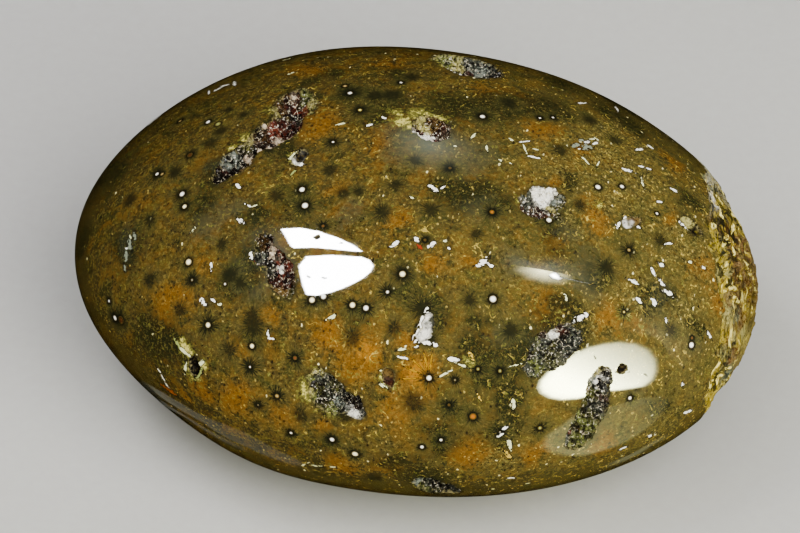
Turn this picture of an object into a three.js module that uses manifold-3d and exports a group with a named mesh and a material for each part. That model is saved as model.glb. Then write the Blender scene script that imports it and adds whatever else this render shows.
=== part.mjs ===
// Ocean jasper palm stone: one hand-polished egg of orbicular jasper, lying on a small flat spot.
// The polish cuts across open hollows lined with quartz crystals, and one end keeps its rough natural rind.
// Millimetres, +Z up. The long axis is X, and the origin is the centre of the flat spot underneath.
import * as THREE from "three";
import { mergeVertices } from "three/addons/utils/BufferGeometryUtils.js";
import Module from "manifold-3d";

const wasm = await Module();
wasm.setup();

// Driving dimensions.
const LENGTH = 65;
const WIDTH = 48;
const HEIGHT = 34;
const RIND_LOSS = 0.6; // how much length the rind has cost the polished egg at the +X end
const GROUND_OFF = 0.25; // how much is flattened away underneath, which leaves a spot about 11 x 8 mm
const SKIN_DETAIL = 11; // subdivisions of the icosahedron that the skin is shaped from

// Where the hand polish left the stone fuller or flatter than a true ellipsoid, as places on the stone in
// degrees (longitude 0 is the +X end and 90 the back, latitude 90 the top), with the spread and the rise.
const SWELLS = [
  { longitude: 168, latitude: 30, spread: 22, rise: -0.75 },
  { longitude: -136, latitude: -6, spread: 16, rise: -0.6 },
  { longitude: -112, latitude: -26, spread: 14, rise: 0.4 },
  { longitude: 40, latitude: 33, spread: 15, rise: -0.35 },
  { longitude: 115, latitude: 37, spread: 18, rise: 0.25 },
];

// Hollows lined with crystals. A lobe is an oval of the hollow's mouth: its centre, the bearing of its long
// axis (degrees from east towards the top), and its length and width. Overlapping lobes make one hollow.
const VUGS = {
  long_vug: {
    depth: 1.7,
    lobes: [
      { longitude: 155.8, latitude: 65.2, bearing: 31, length: 5.8, width: 3.8 },
      { longitude: 168, latitude: 66.5, bearing: 8, length: 5.4, width: 3.4 },
      { longitude: 177.2, latitude: 65.3, bearing: 139, length: 6, width: 3.7 },
      { longitude: -167.5, latitude: 58.8, bearing: 123, length: 6.2, width: 2.8 },
    ],
  },
  top_vug: {
    depth: 1.3,
    lobes: [{ longitude: 83.4, latitude: 53.5, bearing: 150, length: 7.4, width: 4.8 }],
  },
  crown_vug: {
    depth: 1.1,
    lobes: [{ longitude: 73.5, latitude: 84.7, bearing: 173, length: 3.8, width: 3 }],
  },
  sparkle_vug: {
    depth: 1.3,
    lobes: [{ longitude: -25.6, latitude: 65.5, bearing: 135, length: 4.6, width: 4.2 }],
  },
  red_vug: {
    depth: 1.2,
    lobes: [
      { longitude: -118, latitude: 47.5, bearing: 138, length: 5.2, width: 2.5 },
      { longitude: -126.4, latitude: 50.6, bearing: 117, length: 3.2, width: 2.1 },
    ],
  },
  grey_vug: {
    depth: 1.3,
    lobes: [
      { longitude: -98.2, latitude: 20.2, bearing: 145, length: 4.9, width: 3.2 },
      { longitude: -94.8, latitude: 17.9, bearing: 154, length: 4.2, width: 2.2 },
    ],
  },
  crackle_vug: {
    depth: 0.9,
    lobes: [{ longitude: -55.6, latitude: 33, bearing: 27, length: 6.2, width: 3.4 }],
  },
  cleft_vug: {
    depth: 1.6,
    lobes: [
      { longitude: -49.9, latitude: 18.3, bearing: 60, length: 4.9, width: 2.5 },
      { longitude: -53.7, latitude: 9.4, bearing: 57, length: 7, width: 2.7 },
    ],
  },
  foot_vug: {
    depth: 1.1,
    lobes: [{ longitude: -79.4, latitude: -15.9, bearing: 145, length: 4.9, width: 3.2 }],
  },
};

// Bare pits and chips: no crystals show in them.
const PITS = [
  { longitude: -80.5, latitude: 42.5, bearing: 84, length: 2.2, width: 1, depth: 0.6 },
  { longitude: -81.5, latitude: 39.5, bearing: 40, length: 1.7, width: 1.2, depth: 0.6 },
  { longitude: -123.5, latitude: 13, bearing: 110, length: 2.2, width: 1.3, depth: 1.1 },
  { longitude: -88, latitude: 27, bearing: 112, length: 1.9, width: 1.1, depth: 0.8 },
  { longitude: -160, latitude: 69.5, bearing: 129, length: 2.1, width: 1.2, depth: 0.7 },
  { longitude: 0, latitude: 38.5, bearing: 72, length: 2.6, width: 1.5, depth: 0.5 },
  { longitude: -11.5, latitude: 50.5, bearing: 154, length: 2.2, width: 1.1, depth: 0.5 },
  { longitude: 128, latitude: -4, bearing: 20, length: 5, width: 2.6, depth: 1.3 },
  { longitude: 62, latitude: -22, bearing: 150, length: 3.6, width: 2.2, depth: 1 },
  { longitude: -62, latitude: -44, bearing: 35, length: 4, width: 2.4, depth: 1.1 },
  { longitude: -160, latitude: -30, bearing: 70, length: 2.6, width: 1.6, depth: 0.8 },
];

// The rough rind left at the +X end, a shallow hackly scar.
const RIND = { longitude: 1, latitude: -0.5, bearing: 32, length: 30, width: 17.4, depth: 0.75 };
const RIND_SECTORS = 26;
const RIND_RINGS = [0, 0.16, 0.32, 0.48, 0.64, 0.79, 0.93, 1];
const RIND_ROUGHNESS = 0.55;

const FLOOR_ROUGHNESS = 0.16; // share of a hollow's depth that its floor rises and falls
const MOUTH_SHARE = 0.9; // share of a cutter's radius at which it passes through the skin
const WALL_ABOVE = 0.6; // how far a cutter's wall stands above the skin
const CAP_ABOVE = 1.6; // how far its cap does
const CRUST_GAP = 0.3; // running clearance between a crystal crust and the hollow's floor
const CRUST_THICKNESS = 0.2;
const CRUST_REACH = 0.95; // share of the floor that the crust covers, to stay off the walls
const CRYSTAL_HEIGHT = 0.45;
const BED_BOTTOM = 3; // deeper than any hollow
const LEAST_DEPTH = 0.12; // the least that a crystal's tip stays below the polish
const HOLLOW_RINGS = [0, 0.3, 0.56, 0.8, 1]; // shares of the cutter's radius; the last one is its wall
const HOLLOW_SECTORS = 12;
const WOBBLE = 0.24; // share of its reach that a hollow's outline wanders
const STRAY = 0.4; // share of a sector that a corner of its floor strays
const STRAY_WITHIN = 0.75; // share of the radius inside which corners stray

const SEMI_AXES = new THREE.Vector3(LENGTH + RIND_LOSS, WIDTH, HEIGHT + GROUND_OFF).multiplyScalar(0.5);
const MIDDLE = new THREE.Vector3(RIND_LOSS / 2, 0, SEMI_AXES.z - GROUND_OFF);
const radians = THREE.MathUtils.degToRad;

// A repeatable number from 0 to 1 for a pair of whole numbers and a seed.
function chance(i, j, seed) {
  const wave = Math.sin(i * 127.1 + j * 311.7 + seed * 74.7) * 43758.5453;
  return wave - Math.floor(wave);
}

function towards({ longitude, latitude }) {
  const level = Math.cos(radians(latitude));
  return new THREE.Vector3(
    level * Math.cos(radians(longitude)),
    level * Math.sin(radians(longitude)),
    Math.sin(radians(latitude)),
  );
}

function outward(direction) {
  return direction.clone().divide(SEMI_AXES).normalize();
}

// The point of the polished skin in a direction, or the point that far below it.
function skin(direction, below = 0) {
  const swell = SWELLS.reduce((sum, s) => {
    const away = direction.angleTo(towards(s)) / radians(s.spread);
    return sum + s.rise * Math.exp(-away * away);
  }, 0);
  return direction
    .clone()
    .multiply(SEMI_AXES)
    .addScaledVector(outward(direction), swell - below)
    .add(MIDDLE);
}

// Turns a place beside a lobe's centre, in millimetres along and across it, into a direction.
function lobeFrame(lobe) {
  const centre = towards(lobe);
  const normal = outward(centre);
  const east = new THREE.Vector3(0, 0, 1).cross(normal).normalize();
  const along = east.applyAxisAngle(normal, radians(lobe.bearing));
  const across = normal.clone().cross(along);
  const start = skin(centre);
  return (alongBy, acrossBy) =>
    start
      .clone()
      .addScaledVector(along, alongBy)
      .addScaledVector(across, acrossBy)
      .sub(MIDDLE)
      .divide(SEMI_AXES)
      .normalize();
}

// A closed sheet over rings and sectors of an oval: lowerDepth and upperDepth give a corner's depth below the skin.
function closedSheet({ lobe, rings, sectors, seed, lowerDepth, upperDepth }) {
  const place = lobeFrame(lobe);
  const points = [];
  const layCorners = (depthAt) => {
    const first = points.length;
    rings.forEach((share, i) => {
      for (let j = 0; j < (i ? sectors : 1); j += 1) {
        const stray = share < STRAY_WITHIN ? STRAY * (chance(i, j, seed + 3) - 0.5) : 0;
        const turn = ((j + stray) / sectors) * 2 * Math.PI;
        const reach = (share * (1 + WOBBLE * (chance(0, j, seed) - 0.5))) / MOUTH_SHARE;
        const direction = place(
          (lobe.length / 2) * reach * Math.cos(turn),
          (lobe.width / 2) * reach * Math.sin(turn),
        );
        points.push(skin(direction, depthAt(i, j)));
      }
    });
    return (i, j) => (i ? first + 1 + (i - 1) * sectors + (j % sectors) : first);
  };
  const low = layCorners(lowerDepth);
  const high = layCorners(upperDepth);
  const last = rings.length - 1;
  const faces = [];
  for (let j = 0; j < sectors; j += 1) {
    const next = j + 1;
    faces.push([high(0, 0), high(1, j), high(1, next)]);
    faces.push([low(0, 0), low(1, next), low(1, j)]);
    for (let i = 1; i < last; i += 1) {
      const corners = (at) => [at(i, j), at(i + 1, j), at(i + 1, next), at(i, next)];
      const split = (i + j) % 2 ? [[0, 1, 2], [0, 2, 3]] : [[0, 1, 3], [1, 2, 3]];
      for (const [a, b, c] of split) {
        const up = corners(high);
        const down = corners(low);
        faces.push([up[a], up[b], up[c]], [down[a], down[c], down[b]]);
      }
    }
    faces.push([low(last, j), low(last, next), high(last, next)]);
    faces.push([low(last, j), high(last, next), high(last, j)]);
  }
  return toSolid(points, faces);
}

function joined(solids) {
  return solids.reduce((whole, next) => whole.add(next));
}

function toSolid(points, faces) {
  return new wasm.Manifold(
    new wasm.Mesh({
      numProp: 3,
      vertProperties: new Float32Array(points.flatMap((point) => point.toArray())),
      triVerts: new Uint32Array(faces.flat()),
    }),
  );
}

// How deep a hollow's floor lies at a corner: deep in the middle, then up a steep wall and out past the skin.
function floorDepth(lobe, depth, seed) {
  return (i, j) => {
    if (i === HOLLOW_RINGS.length - 1) return -WALL_ABOVE;
    const bowl = 1 - 0.4 * HOLLOW_RINGS[i] ** 2;
    return depth * (bowl + FLOOR_ROUGHNESS * (chance(i, j, seed) - 0.5));
  };
}

function hollowCutter(lobe, depth, seed) {
  return closedSheet({
    lobe,
    rings: HOLLOW_RINGS,
    sectors: HOLLOW_SECTORS,
    seed,
    lowerDepth: floorDepth(lobe, depth, seed),
    upperDepth: () => -CAP_ABOVE,
  });
}

// What lies beneath the crystal tips of one lobe, and what lies beneath the crust's underside. Crystals stand
// side by side, so peaks and notches take turns on the crust.
function crystalsAndBed(lobe, depth, seed) {
  const floor = floorDepth(lobe, depth, seed);
  const rings = HOLLOW_RINGS.slice(0, -1).map((share) => share * CRUST_REACH);
  const bed = (i, j) => floor(i, j) - CRUST_GAP;
  const tip = (i, j) => {
    const peak = (i + j) % 2 ? 0.1 : 0.55 + 0.45 * chance(i, j, seed + 1);
    const edge = i === rings.length - 1 ? 0.35 : 1;
    return Math.max(LEAST_DEPTH, bed(i, j) - CRUST_THICKNESS - CRYSTAL_HEIGHT * peak * edge);
  };
  const shape = { lobe, sectors: HOLLOW_SECTORS, seed };
  const crystals = closedSheet({ ...shape, rings, lowerDepth: () => BED_BOTTOM, upperDepth: tip });
  const under = closedSheet({
    ...shape,
    rings: [...rings, HOLLOW_RINGS.at(-1)],
    lowerDepth: () => 2 * BED_BOTTOM,
    upperDepth: (i, j) => (i === rings.length ? BED_BOTTOM : bed(i, j)),
  });
  return { crystals, under };
}

// All the lobes of a hollow carry one crust.
function crystalCrust({ depth, lobes }, seedOf) {
  const parts = lobes.map((lobe, n) => crystalsAndBed(lobe, depth, seedOf(n)));
  return joined(parts.map((part) => part.crystals)).subtract(joined(parts.map((part) => part.under)));
}

function pitCutter(pit, seed) {
  return closedSheet({
    lobe: pit,
    rings: [0, 0.6, 1],
    sectors: 9,
    seed,
    lowerDepth: (i, j) => (i === 2 ? -WALL_ABOVE : pit.depth * (1 - 0.5 * i * chance(i, j, seed))),
    upperDepth: () => -CAP_ABOVE,
  });
}

function rindCutter() {
  const last = RIND_RINGS.length - 1;
  return closedSheet({
    lobe: RIND,
    rings: RIND_RINGS,
    sectors: RIND_SECTORS,
    seed: 5,
    lowerDepth: (i, j) =>
      i === last ? -WALL_ABOVE : RIND.depth + RIND_ROUGHNESS * (chance(i, j, 6) - 0.5),
    upperDepth: () => -CAP_ABOVE,
  });
}

// The whole egg before anything is cut, with every point that would reach below the flat spot laid on it.
function polishedEgg() {
  const ball = new THREE.IcosahedronGeometry(1, SKIN_DETAIL);
  ball.deleteAttribute("normal");
  ball.deleteAttribute("uv");
  const shared = mergeVertices(ball);
  const corner = new THREE.Vector3();
  const points = [];
  for (let k = 0; k < shared.attributes.position.count; k += 1) {
    const point = skin(corner.fromBufferAttribute(shared.attributes.position, k).clone().normalize());
    point.z = Math.max(point.z, 0);
    points.push(point);
  }
  return toSolid(points, [Array.from(shared.index.array)]);
}

function namedMesh(name, solid, material) {
  const { vertProperties, triVerts } = solid.getMesh();
  const geometry = new THREE.BufferGeometry()
    .setAttribute("position", new THREE.BufferAttribute(vertProperties, 3))
    .setIndex(new THREE.BufferAttribute(triVerts, 1));
  geometry.computeVertexNormals();
  const mesh = new THREE.Mesh(geometry, material);
  mesh.name = name;
  return mesh;
}

const polishedJasper = new THREE.MeshStandardMaterial({ color: 0x7a5c22, roughness: 0.08, metalness: 0 });
const druzyQuartz = new THREE.MeshStandardMaterial({ color: 0x9a8f80, roughness: 0.2, metalness: 0 });

const stone = new THREE.Group();
const cutters = [rindCutter(), ...PITS.map((pit, k) => pitCutter(pit, 40 + k))];
Object.entries(VUGS).forEach(([name, vug], k) => {
  const seedOf = (n) => 10 * k + n;
  cutters.push(...vug.lobes.map((lobe, n) => hollowCutter(lobe, vug.depth, seedOf(n))));
  stone.add(namedMesh(`${name}_crystals`, crystalCrust(vug, seedOf), druzyQuartz));
});
stone.add(namedMesh("stone", polishedEgg().subtract(joined(cutters)), polishedJasper));

export default stone;
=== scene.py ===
import itertools
import math

import bmesh
import bpy
import numpy as np
from mathutils import Matrix


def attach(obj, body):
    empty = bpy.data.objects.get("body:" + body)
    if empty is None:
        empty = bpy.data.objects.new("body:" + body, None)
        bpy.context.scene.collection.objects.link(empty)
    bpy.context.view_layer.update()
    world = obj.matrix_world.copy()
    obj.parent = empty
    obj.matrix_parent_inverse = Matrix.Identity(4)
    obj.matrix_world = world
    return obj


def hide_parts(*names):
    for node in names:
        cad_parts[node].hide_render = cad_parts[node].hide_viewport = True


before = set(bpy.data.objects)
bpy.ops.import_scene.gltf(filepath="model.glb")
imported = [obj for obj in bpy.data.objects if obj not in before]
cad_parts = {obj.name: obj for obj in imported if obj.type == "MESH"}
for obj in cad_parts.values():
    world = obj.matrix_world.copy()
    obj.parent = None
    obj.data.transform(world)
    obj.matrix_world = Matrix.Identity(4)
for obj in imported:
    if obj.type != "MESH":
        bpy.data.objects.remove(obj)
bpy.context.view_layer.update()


# ---------------------------------------------------------------------------------------------------------
# The view. The stone lies on its side, and is looked at from its front long side and from above, from 64 cm
# away. The view is 800 by 533 points, counted from its upper left corner, and marks on the stone are given
# where they are seen in it. Lengths are in millimetres until they become a mesh.
# ---------------------------------------------------------------------------------------------------------
VIEW_SIZE = np.array([800.0, 533.0])
AZIMUTH = math.radians(10.2)
ELEVATION = math.radians(46)
DISTANCE = 639
LENS = 304.8
SENSOR = 36
POINTS_PER_RADIAN = LENS / SENSOR * VIEW_SIZE[0]
AIM_RIGHT = -1.44
AIM_UP = 0.30
LOOKED_AT = np.array([0, 0, 16.9])
MM = 0.001

to_eye = np.array([
    math.sin(AZIMUTH) * math.cos(ELEVATION),
    -math.cos(AZIMUTH) * math.cos(ELEVATION),
    math.sin(ELEVATION),
])
to_right = np.array([math.cos(AZIMUTH), math.sin(AZIMUTH), 0])
to_up = np.cross(to_eye, to_right)
eye = LOOKED_AT + AIM_RIGHT * to_right + AIM_UP * to_up + DISTANCE * to_eye

camera = bpy.data.objects.new("camera", bpy.data.cameras.new("camera"))
camera.data.lens = LENS
camera.data.sensor_width = SENSOR
camera.data.clip_start = 0.01
camera.matrix_world = Matrix([[*row] for row in zip(to_right, to_up, to_eye, eye * MM)]).to_4x4()
bpy.context.collection.objects.link(camera)
bpy.context.scene.camera = camera


# ---------------------------------------------------------------------------------------------------------
# The stone: one piece of orbicular jasper, sawn out of a nodule, ground to an egg and tumbled to a mirror
# polish. The polish cuts across crystal-lined hollows, and one end is left with the nodule's rough rind.
# ---------------------------------------------------------------------------------------------------------
SEMI_AXES = np.array([32.8, 24.0, 17.125])
MIDDLE = np.array([0.3, 0.0, 16.875])

# Where the hand polish left it fuller or flatter: longitude, latitude, spread in degrees, rise.
SWELLS = [
    (168, 30, 22, -0.75),
    (-136, -6, 16, -0.6),
    (-112, -26, 14, 0.4),
    (40, 33, 15, -0.35),
    (115, 37, 18, 0.25),
]

# Hollows and pits: the depth, and ovals of the mouth by longitude, latitude, bearing, length and width.
HOLLOWS = {
    "long_vug": (1.7, [
        (155.8, 65.2, 31, 5.8, 3.8),
        (168, 66.5, 8, 5.4, 3.4),
        (177.2, 65.3, 139, 6, 3.7),
        (-167.5, 58.8, 123, 6.2, 2.8),
    ]),
    "top_vug": (1.3, [(83.4, 53.5, 150, 7.4, 4.8)]),
    "crown_vug": (1.1, [(73.5, 84.7, 173, 3.8, 3)]),
    "sparkle_vug": (1.3, [(-25.6, 65.5, 135, 4.3, 3.7)]),
    "red_vug": (1.2, [(-118, 47.5, 138, 5.2, 2.5), (-126.4, 50.6, 117, 3.2, 2.1)]),
    "grey_vug": (1.3, [(-98.2, 20.2, 145, 4.9, 3.2), (-94.8, 17.9, 154, 4.2, 2.2)]),
    "crackle_vug": (0.9, [(-55.6, 33, 27, 6.2, 3.4)]),
    "cleft_vug": (1.6, [(-50.7, 18.3, 60, 4.9, 2.2), (-53.7, 9.4, 57, 7, 2.7)]),
    "foot_vug": (1.1, [(-79.4, -15.9, 145, 4.9, 3.2)]),
}
PITS = [
    (0.6, (-80.5, 42.5, 84, 2.2, 1)),
    (0.6, (-81.5, 39.5, 40, 1.7, 1.2)),
    (1.1, (-123.5, 13, 110, 2.2, 1.3)),
    (0.8, (-88, 27, 112, 1.9, 1.1)),
    (0.7, (-160, 69.5, 129, 2.1, 1.2)),
    (0.5, (0, 38.5, 72, 2.6, 1.5)),
    (0.5, (-11.5, 50.5, 154, 2.2, 1.1)),
    (1.3, (128, -4, 20, 5, 2.6)),
    (1.0, (62, -22, 150, 3.6, 2.2)),
    (1.1, (-62, -44, 35, 4, 2.4)),
    (0.8, (-160, -30, 70, 2.6, 1.6)),
    (0.5, (-44.1, 22.9, 30, 1.0, 0.8)),
    (0.4, (-115.7, 58.4, 70, 0.6, 0.5)),
]
# The rind is an oval too, at the end along X, and the polish reaches over it in three lips.
RIND = (1, -0.5, 32, 30, 17.4)
POLISHED_LIPS = [(24, 40, 0, 14, 6.6), (39, 29, -12, 9.5, 6), (-31, -13, 95, 9, 4.6)]
RIND_DEPTH = 0.75


def unit(vectors):
    return vectors / np.linalg.norm(vectors, axis=-1, keepdims=True)


def towards(longitude, latitude):
    level = math.cos(math.radians(latitude))
    return np.array([
        level * math.cos(math.radians(longitude)),
        level * math.sin(math.radians(longitude)),
        math.sin(math.radians(latitude)),
    ])


def skin(directions):
    """The points of the polished skin that lie in these directions from the middle of the stone."""
    swell = np.zeros(len(directions))
    for longitude, latitude, spread, rise in SWELLS:
        away = np.degrees(np.arccos(np.clip(directions @ towards(longitude, latitude), -1, 1)))
        swell += rise * np.exp(-((away / spread) ** 2))
    return MIDDLE + directions * SEMI_AXES + unit(directions / SEMI_AXES) * swell[:, None]


def seen_at(places):
    """The directions in which the stone's skin is seen at these places in the view."""
    places = np.array(places, dtype=float).reshape(-1, 2)
    aimed = places.copy()
    start = (eye - MIDDLE) / SEMI_AXES
    for _ in range(5):
        across, down = (aimed - VIEW_SIZE / 2).T[:, :, None] / POINTS_PER_RADIAN
        step = (across * to_right - down * to_up - to_eye) / SEMI_AXES
        square = (step**2).sum(axis=1)
        half = (start * step).sum(axis=1)
        inside = np.maximum(half**2 - square * (start @ start - 1), 0)
        directions = unit(start + step * ((-half - np.sqrt(inside)) / square)[:, None])
        offset = skin(directions) - eye
        depth = -(offset @ to_eye)
        seen = np.column_stack([offset @ to_right, -(offset @ to_up)]) / depth[:, None] * POINTS_PER_RADIAN
        aimed += places - (seen + VIEW_SIZE / 2)
    return directions


def scatter(cells, seed):
    """Six repeatable numbers from 0 to 1 for each cell of a lattice."""
    waves = cells @ np.array([127.1, 311.7, 74.7]) + seed * 53.3
    return np.modf(np.abs(np.sin(waves[:, None] * np.arange(1, 7)) * 43758.5453))[0]


def ripple(points, size, seed):
    """Smooth noise from -0.5 to 0.5 whose bumps are about `size` millimetres across."""
    cells = np.floor(points / size)
    inside = points / size - cells
    blend = inside * inside * (3 - 2 * inside)
    total = np.zeros(len(points))
    for corner in itertools.product((0, 1), repeat=3):
        share = np.where(corner, blend, 1 - blend).prod(axis=1)
        total += share * scatter(cells + corner, seed)[:, 0]
    return total - 0.5


def broken_faces(points, size, slope, seed):
    """Heights of a surface that is broken into tilted flat facets about `size` millimetres across."""
    cells = np.floor(points / size)
    nearest = np.full(len(points), np.inf)
    height = np.zeros(len(points))
    for shift in itertools.product((-1, 0, 1), repeat=3):
        numbers = scatter(cells + shift, seed)
        offset = points - (cells + shift + numbers[:, :3]) * size
        distance = (offset**2).sum(axis=1)
        closer = distance < nearest
        nearest[closer] = distance[closer]
        height[closer] = (offset * (numbers[:, 3:] - 0.5) * 2 * slope).sum(axis=1)[closer]
    return height


def rim_gap(points, ovals):
    """How far points of the skin lie outside the nearest of these ovals. Inside one it is below zero."""
    gap = np.full(len(points), 99.0)
    for longitude, latitude, bearing, length, width in ovals:
        direction = towards(longitude, latitude)
        normal = unit(direction / SEMI_AXES)
        east = unit(np.cross([0, 0, 1], normal))
        north = np.cross(normal, east)
        along = east * math.cos(math.radians(bearing)) + north * math.sin(math.radians(bearing))
        offset = points - skin(direction[None])
        flat = np.column_stack([offset @ along, offset @ np.cross(normal, along)])
        reach = np.hypot(flat[:, 0] / (length / 2), flat[:, 1] / (width / 2))
        radius = np.linalg.norm(flat, axis=1)
        own = radius * (1 - 1 / np.maximum(reach, 1e-6))
        own = np.where(reach < 1e-3, -width / 2, own)
        gap = np.minimum(gap, np.where(offset @ normal < -0.5 * length, 99.0, own))
    return gap


COARSE_BITES = 1.1
FINE_BITES = 0.42


def ragged(points, gap, seed, size):
    """A gap to an opening's rim that is bitten coarsely and finely, by up to three quarters of `size`."""
    fine = 0.5 * size * ripple(points, FINE_BITES, seed + 1)
    return gap + size * ripple(points, COARSE_BITES, seed) + fine


# The skin starts as a fine ball. Edges near and in a hollow or the rind are halved until they are short
# enough to hold a sharp rim, which leaves the plain polish coarser. Each pass has the longest edge that is
# left in a hollow and in the rind, and how far round them it reaches.
REFINEMENTS = [(0.3, 0.32, 0.8), (0.17, 0.22, 0.45)]
openings = list(HOLLOWS.values()) + [(pit_depth, [oval]) for pit_depth, oval in PITS]
all_ovals = [oval for _, ovals in openings for oval in ovals]
ball = bmesh.new()
bmesh.ops.create_icosphere(ball, subdivisions=7, radius=1)
for in_hollow, in_rind, reach_out in REFINEMENTS:
    ends = np.array([[v.co[:] for v in edge.verts] for edge in ball.edges])
    middles = skin(unit(ends.mean(axis=1)))
    lengths = np.linalg.norm((ends[:, 0] - ends[:, 1]) * SEMI_AXES, axis=1)
    wanted = (rim_gap(middles, all_ovals) < reach_out) & (lengths > in_hollow)
    wanted |= (rim_gap(middles, [RIND]) < reach_out) & (lengths > in_rind)
    ball.edges.ensure_lookup_table()
    bmesh.ops.subdivide_edges(ball, edges=[ball.edges[k] for k in np.flatnonzero(wanted)], cuts=1)
    bmesh.ops.triangulate(ball, faces=ball.faces[:])
ball.verts.ensure_lookup_table()
directions = unit(np.array([v.co[:] for v in ball.verts]))
polished = skin(directions)
outward = unit(directions / SEMI_AXES)

# A hollow drops steeply just inside its rim and has an uneven floor.
HOLLOW_RAGGEDNESS = 0.75
PIT_RAGGEDNESS = 0.35
WALL_WIDTH = 0.16
BOWL_WIDTH = 1.4
FLOOR_BUMPS = 0.8
FLOOR_FACETS = 0.7
rim = np.full(len(polished), 9.0)
depth = np.zeros(len(polished))
hollow_of = np.full(len(polished), -1)
for index, (deepest, ovals) in enumerate(openings):
    near = np.flatnonzero(rim_gap(polished, ovals) < 4)
    spots = polished[near]
    raggedness = HOLLOW_RAGGEDNESS if index < len(HOLLOWS) else PIT_RAGGEDNESS
    gap = ragged(spots, rim_gap(spots, ovals), 10 + index, raggedness)
    wall = np.clip(-gap / WALL_WIDTH, 0, 1)
    bowl = np.clip(-gap / BOWL_WIDTH, 0, 1)
    bumps = ripple(spots, FLOOR_BUMPS, 60 + index)
    facets = broken_faces(spots, FLOOR_FACETS, 1, 80 + index)
    unevenness = np.clip(1 + 0.5 * bumps + 0.3 * facets, 0.5, 1.4)
    own_depth = deepest * (0.5 * wall + 0.5 * bowl) * unevenness
    closer = gap < rim[near]
    rim[near[closer]] = gap[closer]
    hollow_of[near[closer]] = index
    depth[near] = np.maximum(depth[near], own_depth)

# The rind is broken into hackly facets, large ones with small ones on them. They are thin along the stone's
# long axis and longer across it, and their layers wander. A kind of facet has a size and a slope.
LARGE_FACETS = (1.2, 0.20)
SMALL_FACETS = (0.5, 0.24)
RIND_RAGGEDNESS = 0.9
RIND_RIM = 0.3
RIND_SLOPE = 3.0
LAYER_WANDER = 1.6
SHALLOWEST = 0.14
DEEPEST = 1.5
THINNEST_CUT = 0.03
rind_gap = np.maximum(rim_gap(polished, [RIND]), -rim_gap(polished, POLISHED_LIPS))
rind_gap = ragged(polished, rind_gap, 5, RIND_RAGGEDNESS)
rind = np.clip(-rind_gap / RIND_RIM, 0, 1)
in_rind = rind > 0
drift = np.column_stack([ripple(polished, 4.5, 70 + k) for k in range(3)])
rind_layers = polished * (1.0, 0.45, 0.45) + LAYER_WANDER * drift
hackle = np.zeros(len(polished))
hackle[in_rind] = (
    broken_faces(rind_layers[in_rind], *LARGE_FACETS, 21)
    + broken_faces(rind_layers[in_rind], *SMALL_FACETS, 22)
    + 0.3 * ripple(polished[in_rind], 3.5, 23)
)
sloping = np.clip(-rind_gap / RIND_SLOPE, 0.12, 1)
rind_cut = rind * np.clip(RIND_DEPTH * sloping + hackle, SHALLOWEST, DEEPEST)
depth = np.maximum(depth, rind_cut)
depth[depth < THINNEST_CUT] = 0
cut = polished - outward * depth[:, None]
cut[:, 2] = np.maximum(cut[:, 2], 0)

for vertex, place in zip(ball.verts, cut * MM):
    vertex.co = place
stone_mesh = bpy.data.meshes.new("stone_skin")
ball.to_mesh(stone_mesh)
ball.free()
stone = bpy.data.objects.new("jasper_stone", stone_mesh)
bpy.context.collection.objects.link(stone)

# Polished faces are smooth, and cut ones are flat, with a sharp edge between the two.
corners = np.empty(len(stone_mesh.loops), dtype=int)
stone_mesh.loops.foreach_get("vertex_index", corners)
corners = corners.reshape(-1, 3)
is_cut = (depth > 0)[corners].any(axis=1)
stone_mesh.polygons.foreach_set("use_smooth", ~is_cut)
face_edges = np.empty(len(stone_mesh.loops), dtype=int)
stone_mesh.loops.foreach_get("edge_index", face_edges)
cut_neighbours = np.bincount(face_edges.reshape(-1, 3)[is_cut].ravel(), minlength=len(stone_mesh.edges))
stone_mesh.edges.foreach_set("use_edge_sharp", cut_neighbours == 1)

# Clouds: soft patches that are seen at (x, y), with a radius in the view's points. A point is about
# POINT_MM wide on the stone. Grey clouds round the highlights paint hazy reflections, and the large dark
# clouds at the left end partly paint the shade on that side.
DARK_CLOUDS_AND_SHADE = [
    (110, 175, 34), (84, 238, 22), (128, 246, 24), (150, 335, 26), (176, 352, 22), (222, 172, 20),
    (283, 146, 18), (303, 202, 15), (252, 262, 20), (262, 215, 16), (350, 92, 20), (388, 97, 18),
    (374, 116, 20), (443, 108, 20), (476, 113, 24), (505, 102, 22), (545, 106, 28), (447, 188, 18),
    (470, 192, 20), (500, 208, 16), (560, 236, 20), (543, 216, 15), (598, 272, 18), (655, 296, 21),
    (690, 205, 18), (612, 112, 24), (640, 132, 20), (576, 330, 22), (522, 345, 24), (562, 312, 18),
    (432, 318, 18), (472, 350, 14), (490, 372, 20), (452, 402, 16), (512, 392, 14), (500, 430, 20),
    (444, 440, 22), (398, 462, 20), (430, 482, 22), (352, 312, 14), (228, 286, 16), (250, 338, 14),
    (330, 440, 14), (150, 400, 24), (502, 404, 10), (700, 330, 16), (560, 84, 22), (396, 74, 15),
    (330, 74, 14), (300, 84, 12), (660, 402, 14), (480, 322, 13), (570, 180, 12), (412, 290, 12),
    (200, 205, 14),
]
WARM_CLOUDS = [
    (168, 302, 24), (160, 326, 14), (130, 206, 16), (300, 112, 12), (328, 122, 26), (376, 146, 14),
    (262, 320, 15), (326, 336, 16), (354, 362, 24), (362, 344, 16), (414, 368, 16), (414, 374, 12),
    (405, 404, 24), (432, 395, 14), (408, 332, 13), (440, 264, 15), (474, 262, 8), (394, 226, 16),
    (490, 92, 23), (528, 100, 14), (538, 128, 18), (582, 150, 14), (600, 215, 19), (340, 190, 12),
    (548, 305, 19), (552, 322, 14), (620, 318, 27), (700, 268, 18), (670, 162, 14), (472, 454, 20),
    (342, 470, 20), (382, 466, 16), (330, 434, 14), (240, 400, 22), (244, 350, 14), (286, 412, 18),
    (200, 384, 13), (182, 392, 10), (532, 456, 15), (596, 448, 16), (390, 64, 22), (300, 74, 20),
    (202, 262, 11), (664, 214, 12), (560, 180, 12), (320, 176, 9), (230, 160, 14), (560, 252, 14),
    (724, 300, 16),
]
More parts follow.
